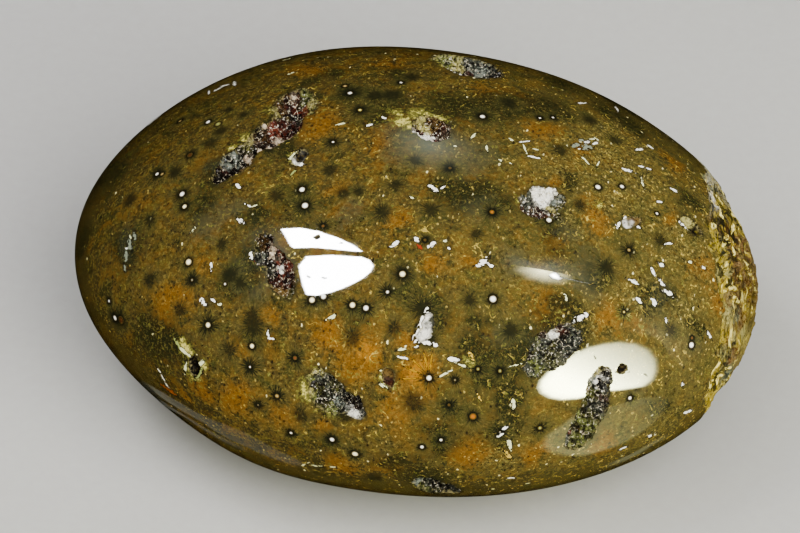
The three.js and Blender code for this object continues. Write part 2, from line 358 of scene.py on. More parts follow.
GREY_CLOUDS_AND_HAZE = [
    (436, 150, 34), (480, 152, 26), (412, 142, 24), (128, 246, 18), (256, 244, 20), (262, 290, 18),
    (510, 262, 22), (586, 262, 20), (592, 292, 18), (560, 232, 18), (230, 208, 18), (664, 296, 18),
    (480, 210, 20), (214, 160, 14), (640, 400, 20), (586, 424, 18), (205, 232, 20), (350, 212, 16),
    (500, 330, 20), (540, 350, 18), (690, 340, 16), (236, 276, 14),
]
POINT_MM = 0.0943
CLOUD_WANDER = 2.2
WANDER_SIZE = 2.6


def cloud_cover(clouds, hidden_count, hidden_radius, seed):
    """How strongly these clouds colour each point, with like ones scattered on the sides that aren't seen."""
    places = skin(seen_at([(x, y) for x, y, radius in clouds]))
    radii = np.array([radius for x, y, radius in clouds]) * POINT_MM
    luck = np.random.default_rng(seed)
    elsewhere = unit(luck.normal(size=(hidden_count, 3)))
    elsewhere = elsewhere[unit(elsewhere / SEMI_AXES) @ to_eye < 0.05]
    places = np.vstack([places, skin(elsewhere)])
    radii = np.append(radii, luck.uniform(*hidden_radius, len(elsewhere)))
    cover = np.zeros(len(cut))
    strayed = cut + CLOUD_WANDER * np.column_stack([ripple(cut, WANDER_SIZE, seed + k) for k in range(3)])
    for place, radius in zip(places, radii):
        cover += np.exp(-((strayed - place) ** 2).sum(axis=1) / radius**2)
    return cover


def keep(mesh, name, kind, domain, values):
    """Stores one value for each point or face of a mesh under a name that its finish can read."""
    attribute = mesh.attributes.new(name, kind, domain)
    field = {"FLOAT": "value", "FLOAT_VECTOR": "vector", "FLOAT_COLOR": "color"}[kind]
    attribute.data.foreach_set(field, np.ascontiguousarray(values, dtype=np.float32).ravel())


def linear(hexadecimal):
    """Linear red, green, blue and alpha from an sRGB hex colour."""
    parts = [int(hexadecimal[k:k + 2], 16) / 255 for k in (1, 3, 5)]
    return [c / 12.92 if c <= 0.04045 else ((c + 0.055) / 1.055) ** 2.4 for c in parts] + [1.0]


# Where the jasper is shattered and crumbs of chalcedony crowd.
SHATTERED = [
    (560, 160, 30), (600, 150, 32), (640, 175, 28), (600, 200, 22), (655, 220, 26), (690, 250, 26),
    (560, 215, 22), (690, 320, 30), (640, 290, 24), (620, 130, 22), (585, 330, 22), (660, 430, 26),
    (500, 455, 22),
]
clouds = np.column_stack([
    cloud_cover(DARK_CLOUDS_AND_SHADE, 110, (1.2, 2.6), 31),
    cloud_cover(WARM_CLOUDS, 100, (1.4, 2.6), 32),
    cloud_cover(GREY_CLOUDS_AND_HAZE, 30, (1.6, 3.0), 33),
])
keep(stone_mesh, "clouds", "FLOAT_VECTOR", "POINT", clouds)
keep(stone_mesh, "shattered", "FLOAT", "POINT", cloud_cover(SHATTERED, 20, (1.6, 3.4), 34))
keep(stone_mesh, "rim", "FLOAT", "POINT", np.clip(rim, -1, 3))
keep(stone_mesh, "rind", "FLOAT", "POINT", rind)
keep(stone_mesh, "cut_depth", "FLOAT", "POINT", depth)
keep(stone_mesh, "rind_layers", "FLOAT_VECTOR", "POINT", rind_layers)

# Orbs: (x, y), the radius of the dark bristly halo and of the pale heart, in points, and the heart's tint.
ORB_TINTS = {
    "white": "#f6f3e6", "cream": "#efe3b4", "tan": "#937a48", "orange": "#824c0c", "brown": "#3c220e",
    "none": "#1c190b", "red": "#582b16", "olive": "#7a7a40", "grey": "#81806f", "yellow": "#cebb59",
}
ORBS = [
    (157, 174, 12, 2.6, "white"), (162, 174, 6, 2.4, "tan"), (175, 172, 9, 0, "none"),
    (182, 194, 12, 3.4, "white"), (184.5, 206.5, 10, 3, "cream"), (208, 122, 7, 3, "white"),
    (218, 124, 5, 3.6, "olive"), (180, 121, 8, 2.2, "tan"), (190, 155, 10, 3.2, "brown"),
    (220, 131, 8, 0, "none"), (210, 143, 9, 0, "none"), (228, 110, 7, 0, "none"), (243, 115, 6, 0, "none"),
    (222, 244, 7, 0, "none"), (192, 280, 11, 1.5, "grey"), (188.5, 262, 8, 3.8, "cream"),
    (230, 275, 10, 0, "none"), (240, 283, 7, 0, "none"), (225, 284, 3, 1.7, "white"),
    # The white heart at (115, 318) is a painted highlight on the brown bead beside it.
    (109, 301, 7, 2, "white"), (115, 318, 12, 3.2, "white"), (121, 320, 12, 4.4, "brown"),
    (208, 325, 13, 3.2, "cream"), (252, 346, 7, 2.9, "cream"), (250, 367, 12, 1.5, "white"),
    (253, 325, 12, 0, "none"), (252, 314, 9, 0, "none"), (302, 189.5, 11, 3.4, "white"),
    (305, 205.5, 12, 3.8, "white"), (333, 142, 10, 1.8, "white"), (350, 93, 15, 3, "white"),
    (345, 86, 8, 2.6, "tan"), (360, 110, 12, 2.4, "yellow"), (401, 82.5, 8, 2, "white"),
    (375, 96, 11, 0, "none"), (391, 95, 11, 0, "none"), (412, 77, 9, 0, "none"), (323, 226, 9, 1.6, "red"),
    (382, 212, 10, 0, "none"), (343, 193, 7, 0, "none"), (358, 192, 6, 0, "none"),
    (312, 300, 11, 3.4, "cream"), (323.5, 296.5, 11, 3.2, "white"), (352.5, 305, 10, 3.4, "cream"),
    (366, 308, 11, 3.2, "white"), (402.5, 274, 13, 3.6, "cream"), (387.5, 292, 11, 2, "white"),
    (295, 358, 10, 2.1, "red"), (353, 338, 10, 0, "none"), (394, 328, 8, 0, "none"),
    (422, 308, 12, 0, "none"), (450, 168, 11, 1.6, "brown"), (492, 212, 11, 2.6, "orange"),
    (431, 210, 10, 0, "none"), (476, 234, 7, 0, "none"), (482.5, 116.5, 12, 3.2, "white"),
    (510, 103, 10, 0, "none"), (540, 118, 8, 1.8, "white"), (553, 117.5, 8, 1.8, "white"),
    (493, 299, 10, 3.9, "white"), (549, 220, 7, 3.2, "white"), (541, 213, 7, 3, "brown"),
    (598, 187, 7, 3.3, "white"), (622, 186.5, 7, 2.8, "white"), (657, 213.5, 5, 2, "white"),
    (629, 250, 11, 2, "tan"), (607, 267, 10, 0, "none"), (624, 312, 9, 1.6, "yellow"),
    (691.5, 345, 7, 3.5, "white"), (692, 338, 5, 1.6, "red"), (478, 369, 9, 1.8, "olive"),
    (500, 371, 9, 1.9, "olive"), (429, 378, 11, 3.1, "white"), (413, 402, 12, 0, "none"),
    (449, 405, 10, 1.4, "brown"), (473, 416.5, 10, 3.6, "orange"), (332, 439.5, 10, 3, "white"),
    (355, 454, 10, 3.8, "cream"), (277, 396, 11, 2.4, "tan"), (258, 405, 9, 1, "grey"),
    (291, 433, 9, 2, "white"), (422, 447, 7, 2.4, "white"), (441, 440, 8, 2, "white"),
    (374, 477, 9, 0, "none"), (540, 428, 9, 2.3, "olive"), (500, 432, 11, 1, "white"),
    (630, 398, 7, 2.4, "white"), (455, 380, 8, 1.2, "grey"), (510, 330, 9, 0, "none"),
    (470, 300, 8, 0, "none"), (425, 240, 8, 1.4, "brown"), (560, 150, 9, 0, "none"),
    (590, 120, 9, 0, "none"), (615, 140, 8, 0, "none"), (305, 240, 8, 0, "none"), (276, 196, 8, 0, "none"),
    (330, 170, 8, 0, "none"), (268, 150, 7, 0, "none"), (395, 185, 8, 0, "none"), (415, 160, 8, 0, "none"),
    (320, 390, 9, 0, "none"), (230, 350, 8, 0, "none"), (180, 310, 8, 0, "none"), (150, 280, 8, 0, "none"),
    (130, 200, 9, 0, "none"), (150, 220, 8, 0, "none"), (670, 330, 8, 0, "none"), (660, 240, 8, 0, "none"),
    (580, 205, 7, 0, "none"), (430, 340, 8, 0, "none"), (345, 415, 9, 0, "none"), (300, 415, 9, 0, "none"),
]

# Chips, by tint: the two ends of a chip's long axis, and its width. A pinhole is a dull chip that is painted
# dark as the shade in a tiny pit. A few white chips, at the upper left rim and near the middle, are painted
# glints off chipped facets.
CHIP_TINTS = {
    "white": "#fffcec", "pale": "#d9d9a2", "green": "#868d4c", "yellow": "#b8993a", "red": "#7c2c14",
    "grey": "#767c68", "ember": "#804208", "amber": "#8f6a0c", "pinhole": "#0a0806",
}
CHIPS = {
    "white": [
        (148, 124, 152, 122, 7), (152, 121, 160, 117, 6), (216, 90, 222, 87, 5), (222, 86, 228, 85, 4.5),
        (209, 91, 209, 95, 3), (234, 82, 235, 85, 3.5), (238, 219, 242, 222, 4), (237, 185, 240, 188, 3.4),
        (246, 204, 251, 207, 2.4), (211, 263, 211, 269, 3), (251, 254, 252, 259, 4),
        (201, 300, 205, 304, 5), (212, 299, 214, 301, 3), (268, 331, 268, 338, 2.4),
        (268, 338, 273, 339, 2), (392, 245, 396, 243, 4.5), (416, 239, 419, 242, 4),
        (430, 246, 434, 242, 4.5), (448, 248, 450, 249, 3), (383, 117, 385, 118, 3),
        (366, 126, 373, 124, 3), (431, 187, 436, 190, 4.6), (440, 189, 445, 186, 2.4),
        (480, 264, 488, 259, 6), (489, 265, 493, 266, 3), (578, 103, 586, 103, 3.2),
        (615, 106, 618, 111, 3), (636, 150, 643, 149, 3.4), (649, 146, 654, 149, 3.4),
        (623, 169, 633, 172, 3.6), (639, 166, 643, 167, 3.4), (646, 168, 650, 169, 3),
        (672, 189, 677, 192, 3.4), (656, 202, 661, 202, 3), (626, 219, 628, 223, 6),
        (617, 225, 620, 223, 4), (636, 225, 640, 228, 3.6), (681, 223, 684, 226, 5),
        (684, 226, 693, 233, 3), (666, 244, 671, 243, 3), (659, 264, 663, 266, 4), (652, 269, 654, 274, 3),
        (629, 280, 637, 283, 4), (665, 291, 672, 295, 5), (702, 267, 705, 268, 3),
        (666, 319, 667, 322, 2.6), (576, 320, 585, 315, 6), (427, 313, 423, 328, 8),
        (424, 326, 417, 340, 10), (420, 341, 436, 345, 4), (450, 359, 457, 360, 4),
        (684, 413, 690, 411, 3.4), (647, 437, 653, 435, 3.4), (621, 449, 626, 447, 3),
        (509, 478, 514, 478, 3), (682, 382, 683, 386, 3), (707, 331, 711, 338, 3),
        (719, 351, 721, 353, 2.4), (521, 142, 530, 141, 2), (528, 156, 538, 158, 2),
        (586, 142, 588, 142, 4), (593, 144, 596, 143, 3), (578, 149, 580, 149, 2.4),
        (126, 248, 128, 249, 1.8), (157, 368, 161, 373, 3.4), (161, 374, 165, 382, 2),
        (165, 383, 171, 390, 2), (399, 357, 407, 359, 2.6), (296, 163, 301, 164, 6),
        (497, 437, 503, 433, 2.6), (503, 429, 506, 427, 3.4), (618, 225, 618, 227, 4),
        (638, 299, 641, 302, 5), (652, 300, 655, 304, 4.6), (660, 281, 663, 285, 4),
    ],
    "pale": [
        (284, 60, 293, 58, 3), (289, 74, 295, 72, 3), (191, 232, 195, 228, 3), (251, 207, 257, 205, 2),
        (219, 304, 221, 304, 3), (328, 319, 336, 315, 3.4), (444, 241, 447, 241, 2.6),
        (337, 125, 345, 123, 2.6), (410, 197, 413, 198, 2.6), (471, 138, 476, 133, 3),
        (486, 146, 487, 150, 3), (454, 146, 457, 146, 2), (510, 139, 513, 141, 2.4),
        (499, 160, 502, 161, 2.4), (509, 163, 512, 164, 2), (590, 139, 593, 139, 2.4),
        (595, 138, 598, 140, 2.4), (641, 178, 644, 188, 3), (690, 262, 693, 262, 3),
        (456, 363, 466, 367, 3), (513, 401, 514, 407, 5), (509, 441, 511, 450, 4),
        (312, 465, 316, 466, 2.6), (318, 466, 321, 466, 2.6), (331, 467, 335, 467, 2.6),
        (524, 484, 530, 483, 3), (490, 489, 495, 489, 2.6), (565, 296, 567, 300, 3),
        (576, 352, 580, 352, 3), (523, 144, 527, 154, 1.6), (534, 149, 539, 150, 1.4),
        (582, 157, 588, 163, 2.4), (130, 236, 131, 239, 1.8), (596, 168, 600, 160, 1.6),
        (180, 348, 190, 356, 4), (197, 366, 204, 361, 5), (186, 363, 185, 372, 3.4),
        (382, 372, 389, 376, 4), (380, 383, 387, 388, 3.6), (399, 350, 406, 348, 2.6),
        (290, 158, 298, 152, 6), (439, 377, 452, 370, 1.8), (508, 367, 520, 364, 2),
        (300, 466, 309, 463, 2),
    ],
    "green": [
        (175, 339, 180, 348, 3.4), (196, 378, 201, 370, 5), (295, 170, 291, 175, 3),
    ],
    "yellow": [
        (506, 452, 511, 459, 4), (470, 354, 473, 358, 4), (478, 395, 481, 401, 2.4),
    ],
    "red": [
        (253, 259, 256, 261, 3), (418, 245, 421, 248, 4),
    ],
    "grey": [
        (575, 146, 579, 144, 7), (584, 148, 590, 146, 7), (580, 140, 582, 140, 3), (134, 234, 135, 238, 5),
        (129, 242, 130, 247, 6), (126, 253, 126, 259, 5), (124, 264, 125, 270, 3.4),
    ],
    "ember": [
        (163, 386, 175, 394, 6),
    ],
    "amber": [
        (402, 379, 419, 378, 1.8), (405, 367, 421, 374, 1.8), (412, 359, 423, 370, 1.6),
        (424, 353, 427, 367, 2), (432, 355, 430, 368, 1.8),
    ],
    # Painted shade in tiny pits.
    "pinhole": [
        (315, 237, 319, 236, 3.4), (306, 276, 310, 277, 2.6), (322, 278, 326, 278, 2),
        (622, 369, 628, 370, 6), (615, 372, 617, 372, 2), (594, 356, 596, 359, 2), (644, 374, 647, 376, 2),
        (340, 243, 342, 243, 2), (556, 276, 572, 280, 1.4), (572, 280, 592, 284, 1.2),
    ],
}

# The sides that aren't seen carry orbs and chips of the same kinds at the same spacing. Their halos, hearts
# and chips have a smallest and a largest size in millimetres, and half a chip's length is given by the angle,
# in radians, that it takes up round the stone's middle.
luck = np.random.default_rng(7)
HIDDEN_ORBS = 330
HIDDEN_HALO = (0.65, 1.25)
HIDDEN_HEART = (0.12, 0.38)
HIDDEN_GAP = 2.1
HIDDEN_CHIPS = 210
HIDDEN_CHIP_WIDTH = (0.2, 0.5)
HIDDEN_CHIP_TURN = (0.002, 0.018)


def is_hidden(direction):
    """Whether the skin in this direction faces away from the eye."""
    return unit(direction / SEMI_AXES) @ to_eye < 0.02


orb_places = skin(seen_at([orb[:2] for orb in ORBS]))
HEART_TRIM = 0.92
orb_forms = np.array([
    (halo * POINT_MM, HEART_TRIM * heart * POINT_MM, 0) for x, y, halo, heart, tint in ORBS
])
orb_tints = np.array([linear(ORB_TINTS[orb[4]])[:3] for orb in ORBS])
HIDDEN_ORB_TINTS = ["none", "none", "none", "white", "white", "cream", "orange", "brown", "tan", "grey"]
for direction in unit(luck.normal(size=(HIDDEN_ORBS, 3))):
    place = skin(direction[None])
    if is_hidden(direction) and np.linalg.norm(orb_places - place, axis=1).min() > HIDDEN_GAP:
        tint = HIDDEN_ORB_TINTS[luck.integers(len(HIDDEN_ORB_TINTS))]
        heart = 0 if tint == "none" else luck.uniform(*HIDDEN_HEART)
        orb_places = np.vstack([orb_places, place])
        orb_forms = np.vstack([orb_forms, [luck.uniform(*HIDDEN_HALO), heart, 0]])
        orb_tints = np.vstack([orb_tints, linear(ORB_TINTS[tint])[:3]])

HIDDEN_CHIP_TINTS = ["white", "pale", "pale", "yellow", "green"]
chips = [(*chip, tint) for tint, rows in CHIPS.items() for chip in rows]
chip_ends = [skin(seen_at([chip[k:k + 2] for chip in chips])) for k in (0, 2)]
chip_widths = np.array([chip[4] for chip in chips]) * POINT_MM
chip_tints = np.array([linear(CHIP_TINTS[chip[5]])[:3] for chip in chips])
for direction in unit(luck.normal(size=(HIDDEN_CHIPS, 3))):
    if is_hidden(direction):
        turn = unit(np.cross(direction, luck.normal(size=3))) * luck.uniform(*HIDDEN_CHIP_TURN)
        for k, shift in enumerate((-turn, turn)):
            chip_ends[k] = np.vstack([chip_ends[k], skin(unit(direction + shift)[None])])
        chip_widths = np.append(chip_widths, luck.uniform(*HIDDEN_CHIP_WIDTH))
        tint = HIDDEN_CHIP_TINTS[luck.integers(len(HIDDEN_CHIP_TINTS))]
        chip_tints = np.vstack([chip_tints, linear(CHIP_TINTS[tint])[:3]])
chip_middles = (chip_ends[0] + chip_ends[1]) / 2
chip_halves = np.linalg.norm(chip_ends[1] - chip_ends[0], axis=1) / 2
chip_alongs = unit(chip_ends[1] - chip_ends[0])

# Each face knows the two orbs and the chip that lie nearest to it, so their edges stay sharp at any size. A
# wide halo reaches further than a narrow one. The third part of an orb's form is how far its bristles reach.
face_middles = polished[corners].mean(axis=1)
HALO_PULL = 0.8
to_orbs = np.stack([
    np.linalg.norm(face_middles - place, axis=1) - HALO_PULL * halo
    for place, halo in zip(orb_places, orb_forms[:, 0])
], axis=1)
orb_forms[:, 2] = luck.uniform(0.25, 1.0, len(orb_forms))
nearest_orbs = np.argpartition(to_orbs, 1, axis=1)[:, :2].T
for side, chosen in zip("ab", nearest_orbs):
    keep(stone_mesh, f"orb_{side}", "FLOAT_VECTOR", "FACE", orb_places[chosen])
    keep(stone_mesh, f"orb_{side}_form", "FLOAT_VECTOR", "FACE", orb_forms[chosen])
    keep(stone_mesh, f"orb_{side}_tint", "FLOAT_VECTOR", "FACE", orb_tints[chosen])
to_chips = []
for middle, along, half, width in zip(chip_middles, chip_alongs, chip_halves, chip_widths):
    offset = face_middles - middle
    past_end = np.clip(offset @ along, -half, half)
    to_chips.append(np.linalg.norm(offset - past_end[:, None] * along, axis=1) - width / 2)
chosen = np.argmin(to_chips, axis=0)
keep(stone_mesh, "chip", "FLOAT_VECTOR", "FACE", chip_middles[chosen])
keep(stone_mesh, "chip_along", "FLOAT_VECTOR", "FACE", chip_alongs[chosen])
is_pinhole = (chip_tints == linear(CHIP_TINTS["pinhole"])[:3]).all(axis=1)
chip_reach = np.column_stack([chip_halves + chip_widths / 2, chip_widths / 2, is_pinhole])
keep(stone_mesh, "chip_form", "FLOAT_VECTOR", "FACE", chip_reach[chosen])
keep(stone_mesh, "chip_tint", "FLOAT_VECTOR", "FACE", chip_tints[chosen])

# Yellow-green moss that stains the rims of some hollows.
MOSS = [
    (405, 118, 9), (417, 113, 8), (430, 117, 9), (442, 120, 7), (412, 127, 7), (272, 110, 8), (245, 137, 7),
    (310, 100, 6), (232, 148, 6), (437, 60, 8), (445, 66, 7), (304, 385, 8), (306, 397, 7), (316, 371, 5),
    (332, 413, 8), (182, 345, 8), (190, 354, 7), (187, 368, 6), (196, 378, 7), (204, 366, 6), (400, 124, 7),
    (293, 158, 7), (470, 362, 7), (520, 200, 6), (415, 486, 5), (624, 313, 9), (598, 206, 6), (383, 378, 6),
    (391, 384, 6), (372, 124, 4), (396, 112, 6),
]
moss = np.zeros(len(cut))
for place, (x, y, radius) in zip(skin(seen_at([spot[:2] for spot in MOSS])), MOSS):
    moss += np.exp(-(((cut - place) ** 2).sum(axis=1)) / (radius * POINT_MM) ** 2)
keep(stone_mesh, "moss", "FLOAT", "POINT", moss)

# The colours in the hollows, the pits and the rind, by spots that are seen at (x, y). The white spots in the
# sparkle vug are painted glints.
LINING_TINTS = {
    "white": "#e2dece", "cream": "#988f50", "grey": "#3c3e34", "maroon": "#30160f", "red": "#4f2014",
    "brown": "#38250f", "tan": "#5a4622", "olive": "#403e1e", "dark": "#0f0c09", "green": "#5c602e",
    "silver": "#62675c", "bone": "#b8a488", "purple": "#33261f", "gold": "#8f7c18", "pink": "#76532b",
    "rust": "#573a12", "ash": "#565e48",
}
LINING_SPOTS = {
    "white": [
        # Those at (538 to 551, 189 to 197) are painted glints in the sparkle vug.
        (452, 67), (460, 72), (431, 132), (425, 129), (429, 136), (427, 133), (542, 194), (551, 197),
        (538, 190), (548, 189), (277, 265), (351, 415), (552, 334), (604, 376), (601, 384), (628, 221),
        (426, 320), (424, 335), (296, 162), (706, 180), (714, 193), (724, 206),
    ],
    "cream": [
        (310, 101), (271, 111), (245, 137), (440, 59), (447, 63), (458, 59), (424, 114), (427, 124),
        (419, 119), (556, 203), (314, 373), (304, 387), (306, 397), (600, 371), (689, 224), (293, 166),
        (732, 210), (717, 265), (730, 272), (731, 317), (736, 337), (749, 335), (726, 356),
    ],
    "grey": [
        (299, 111), (227, 154), (472, 60), (487, 71), (478, 74), (490, 66), (522, 199), (529, 205),
        (529, 199), (526, 193), (519, 196), (270, 272), (267, 285), (260, 252), (325, 393), (330, 402),
        (343, 410), (338, 397), (358, 411), (346, 416), (320, 380), (532, 345), (545, 347), (540, 357),
        (527, 366), (572, 342), (563, 345), (545, 338), (575, 334), (600, 392), (597, 410), (572, 430),
        (566, 446), (567, 437), (442, 488), (428, 489), (432, 323),
    ],
    "maroon": [
        (298, 92), (285, 99), (303, 104), (288, 114), (280, 118), (294, 118), (288, 125), (269, 134),
        (222, 165), (466, 64), (420, 125), (437, 126), (535, 215), (544, 213), (551, 213), (528, 207),
        (539, 209), (283, 283), (275, 281), (287, 274), (268, 243), (273, 270), (282, 257), (540, 330),
        (560, 331), (386, 382),
    ],
    "red": [
        (296, 99), (271, 124), (279, 126), (292, 130), (433, 137), (280, 251), (275, 259), (285, 264),
        (280, 273), (573, 438),
    ],
    "brown": [
        (282, 94), (279, 105), (261, 130), (439, 133), (430, 118), (520, 203), (555, 209), (532, 217),
        (262, 241), (580, 437), (631, 216),
    ],
    "tan": [
        (247, 156), (240, 160), (434, 121), (540, 220), (561, 192), (279, 290), (588, 395), (637, 219),
        (386, 376), (748, 253), (729, 294), (740, 289), (740, 330), (703, 394),
    ],
    "olive": [
        (562, 200), (563, 208), (558, 214), (550, 219), (524, 212), (256, 245), (286, 290), (318, 394),
        (326, 408), (333, 392), (557, 345), (536, 350), (548, 353), (592, 392), (585, 410), (590, 420),
        (570, 450), (577, 433), (594, 403), (440, 483), (622, 226), (635, 225), (716, 281), (731, 356),
        (729, 366), (720, 377), (696, 401),
    ],
    "dark": [
        (290, 106), (253, 130), (250, 146), (242, 149), (237, 151), (236, 159), (229, 161), (217, 171),
        (226, 167), (457, 67), (495, 70), (467, 70), (446, 60), (538, 206), (548, 207), (534, 209),
        (552, 209), (543, 206), (270, 262), (266, 235), (266, 256), (272, 276), (315, 386), (322, 401),
        (357, 404), (345, 402), (347, 408), (530, 357), (566, 338), (552, 341), (606, 386), (608, 373),
        (425, 482), (448, 486), (436, 490), (622, 369), (317, 237), (694, 229), (191, 367), (188, 360),
        (298, 156), (721, 200), (727, 212), (727, 219), (721, 243), (733, 257), (737, 313), (737, 351),
    ],
    "green": [
        (275, 94), (303, 92), (306, 108), (239, 143), (436, 64), (443, 67), (449, 57), (455, 62),
        (412, 117), (332, 412), (310, 380), (312, 400), (548, 325), (533, 338), (535, 363), (590, 401),
        (577, 417), (583, 426), (585, 433), (577, 444), (597, 397), (432, 484), (420, 491), (702, 176),
        (709, 184), (719, 194),
    ],
    "silver": [
        (232, 154), (222, 159), (482, 64), (470, 75), (558, 196), (337, 405), (598, 380), (595, 384),
        (415, 485),
    ],
    "bone": [
        (290, 90), (262, 122), (276, 132), (284, 133), (272, 140), (258, 148), (246, 151), (479, 68),
        (272, 249),
    ],
    "purple": [
        (257, 138), (264, 141), (475, 70), (484, 70), (524, 206), (530, 211), (540, 211), (534, 201),
        (354, 409), (602, 400), (571, 442),
    ],
    "gold": [
        (729, 205), (736, 216), (710, 238), (716, 245), (723, 261), (724, 280), (721, 291), (751, 307),
        (727, 337), (746, 340), (723, 366), (716, 380), (712, 395),
    ],
    "pink": [
        (732, 233), (745, 237), (740, 256), (743, 267), (746, 304), (740, 356),
    ],
    "rust": [
        (733, 226), (739, 243), (738, 279), (752, 277), (753, 289), (750, 314), (746, 323), (731, 340),
        (709, 386),
    ],
    "ash": [
        (713, 187), (727, 250), (740, 317), (733, 371),
    ],
}


SPOT_SIZE = 0.05
SPOT_CRISPNESS = 7


def lining_at(points):
    """The colour of the crystals and the stone at these points of the hollows, blended from the spots."""
    spots = skin(seen_at([spot for seen in LINING_SPOTS.values() for spot in seen]))
    tints = np.array([linear(LINING_TINTS[tint])[:3] for tint, seen in LINING_SPOTS.items() for _ in seen])
    strayed = points + np.column_stack([ripple(points, 0.5, 90 + k) for k in range(3)])
    weights = 1 / (np.linalg.norm(strayed[:, None] - spots, axis=2) + SPOT_SIZE) ** SPOT_CRISPNESS
    return weights @ tints / weights.sum(axis=1, keepdims=True)


lining = np.zeros((len(cut), 3))
lining[depth > 0] = lining_at(polished[depth > 0])
keep(stone_mesh, "lining", "FLOAT_VECTOR", "POINT", lining)


def add(tree, kind, inputs=None, **settings):
    """Adds one node to a tree, with its settings. An input is a value, a node or one of a node's outputs."""
    node = tree.nodes.new(kind)
    for name, value in settings.items():
        setattr(node, name, value)
    for socket, value in (inputs or {}).items():
        if isinstance(value, bpy.types.Node):
            value = next(output for output in value.outputs if output.enabled)
        if isinstance(value, bpy.types.NodeSocket):
            tree.links.new(value, node.inputs[socket])
        else:
            node.inputs[socket].default_value = value
    return node


# Orbicular jasper, tumbled to a mirror polish: fine-grained quartz full of golden-brown moss, with soft
# olive clouds, dark bristly orbs round pale hearts, and chips of white chalcedony. It is glassy where it is
# polished, and hackly and half dull where it is broken.
jasper = bpy.data.materials.new("polished_orbicular_jasper")
jasper.use_nodes = True
tree = jasper.node_tree
finish = tree.nodes["Principled BSDF"]
object_place = add(tree, "ShaderNodeTexCoord").outputs["Object"]
in_mm = add(tree, "ShaderNodeVectorMath", {0: object_place, "Scale": 1000.0}, operation="SCALE")

# The sizes of its patterns. Real fibres, pepper, flecks and splinters are a tenth of a millimetre and finer,
# too fine to show from here, so they are drawn two to five times as coarse.
MOTTLE = 2.8
TUFT = 0.95
FIBRE = 0.30
PEPPER = 0.5
CRUMB = 0.9
FLECK = 0.42
THREAD = 1.3
noises = {}
channels = {}
for name, size, detail, wild in (
    ("mottle", MOTTLE, 3, 0.6),
    ("tuft", TUFT, 4, 0.6),
    ("fibre", FIBRE, 3, 0.75),
):
    noise = {"Vector": in_mm, "Scale": 1 / size, "Detail": detail, "Roughness": wild, "Distortion": 0.5}
    noises[name] = add(tree, "ShaderNodeTexNoise", noise)
    channels[name] = add(tree, "ShaderNodeSeparateColor", {0: noises[name].outputs["Color"]}).outputs
warp = {0: noises["tuft"].outputs["Color"], 1: (0.5, 0.5, 0.5)}
warp = add(tree, "ShaderNodeVectorMath", warp, operation="SUBTRACT")
warped = add(tree, "ShaderNodeVectorMath", {0: warp, 1: (0.9, 0.9, 0.9), 2: in_mm}, operation="MULTIPLY_ADD")
half_warped = {0: warp, 1: (0.35, 0.35, 0.35), 2: in_mm}
half_warped = add(tree, "ShaderNodeVectorMath", half_warped, operation="MULTIPLY_ADD")
jagged = {0: noises["fibre"].outputs["Color"], 1: (0.4, 0.4, 0.4), 2: half_warped}
jagged = add(tree, "ShaderNodeVectorMath", jagged, operation="MULTIPLY_ADD")

cloud_attribute = add(tree, "ShaderNodeAttribute", attribute_name="clouds").outputs["Vector"]
clouds_apart = add(tree, "ShaderNodeSeparateXYZ", {0: cloud_attribute}).outputs
uneven = add(tree, "ShaderNodeMath", {0: noises["tuft"], 1: 2.2, 2: -1.1}, operation="MULTIPLY_ADD")
finer = add(tree, "ShaderNodeMath", {0: noises["fibre"], 1: 1.4, 2: -0.7}, operation="MULTIPLY_ADD")
ragged_noise = add(tree, "ShaderNodeMath", {0: uneven, 1: finer}, operation="ADD")
cloud_masks = {}
for axis, name, low, high in (
    ("X", "dark", 0.10, 0.88),
    ("Y", "warm", 0.15, 0.85),
    ("Y", "bright", 0.9, 1.7),
    ("Z", "grey", 0.2, 1.1),
):
    patch = add(tree, "ShaderNodeMath", {0: clouds_apart[axis], 1: ragged_noise}, operation="ADD")
    limits = {"Value": patch, "From Min": low, "From Max": high}
    cloud_masks[name] = add(tree, "ShaderNodeMapRange", limits, interpolation_type="SMOOTHSTEP")
along_stone = add(tree, "ShaderNodeSeparateXYZ", {0: in_mm}).outputs["X"]

# The ground, from the deepest layer upwards: what is mixed over it, from which value to which, how much.
layers = []
for value, low, high, most, tint in (
    (channels["mottle"]["Red"], 0.50, 0.62, 0.55, "#302b14"),
    (channels["mottle"]["Green"], 0.52, 0.62, 0.45, "#674610"),
    (channels["mottle"]["Blue"], 0.50, 0.60, 0.62, "#24280f"),
    (along_stone, -4, 22, 0.52, "#4f4a22"),
    (channels["tuft"]["Red"], 0.50, 0.66, 0.58, "#5b4b1a"),
    (channels["tuft"]["Red"], 0.48, 0.34, 0.60, "#27220f"),
    (channels["tuft"]["Green"], 0.53, 0.66, 0.22, "#6a4a14"),
    (channels["tuft"]["Blue"], 0.53, 0.66, 0.45, "#2c3114"),
    (cloud_masks["warm"], 0, 1, 0.78, "#66430f"),
    (cloud_masks["bright"], 0, 1, 0.85, "#935e04"),
    (cloud_masks["dark"], 0, 1, 0.88, "#1a1d0c"),
    (channels["fibre"]["Red"], 0.53, 0.68, 0.50, "#857436"),
    (channels["fibre"]["Red"], 0.46, 0.33, 0.62, "#13100a"),
    (channels["fibre"]["Green"], 0.54, 0.68, 0.20, "#7a5018"),
):
    limits = {"Value": value, "From Min": low, "From Max": high, "To Max": most}
    layers.append((add(tree, "ShaderNodeMapRange", limits), tint))

# Round a hollow the jasper is darker and crumbles into pale grains.
rim_distance = add(tree, "ShaderNodeAttribute", attribute_name="rim").outputs["Fac"]
rim_zone = add(tree, "ShaderNodeMath", {0: ragged_noise, 1: -0.5, 2: rim_distance}, operation="MULTIPLY_ADD")
rim_zone = add(tree, "ShaderNodeMapRange", {"Value": rim_zone, "From Min": 0.60, "From Max": 0.05})
layers.append((add(tree, "ShaderNodeMath", {0: rim_zone, 1: 0.6}, operation="MULTIPLY"), "#1b1d11"))

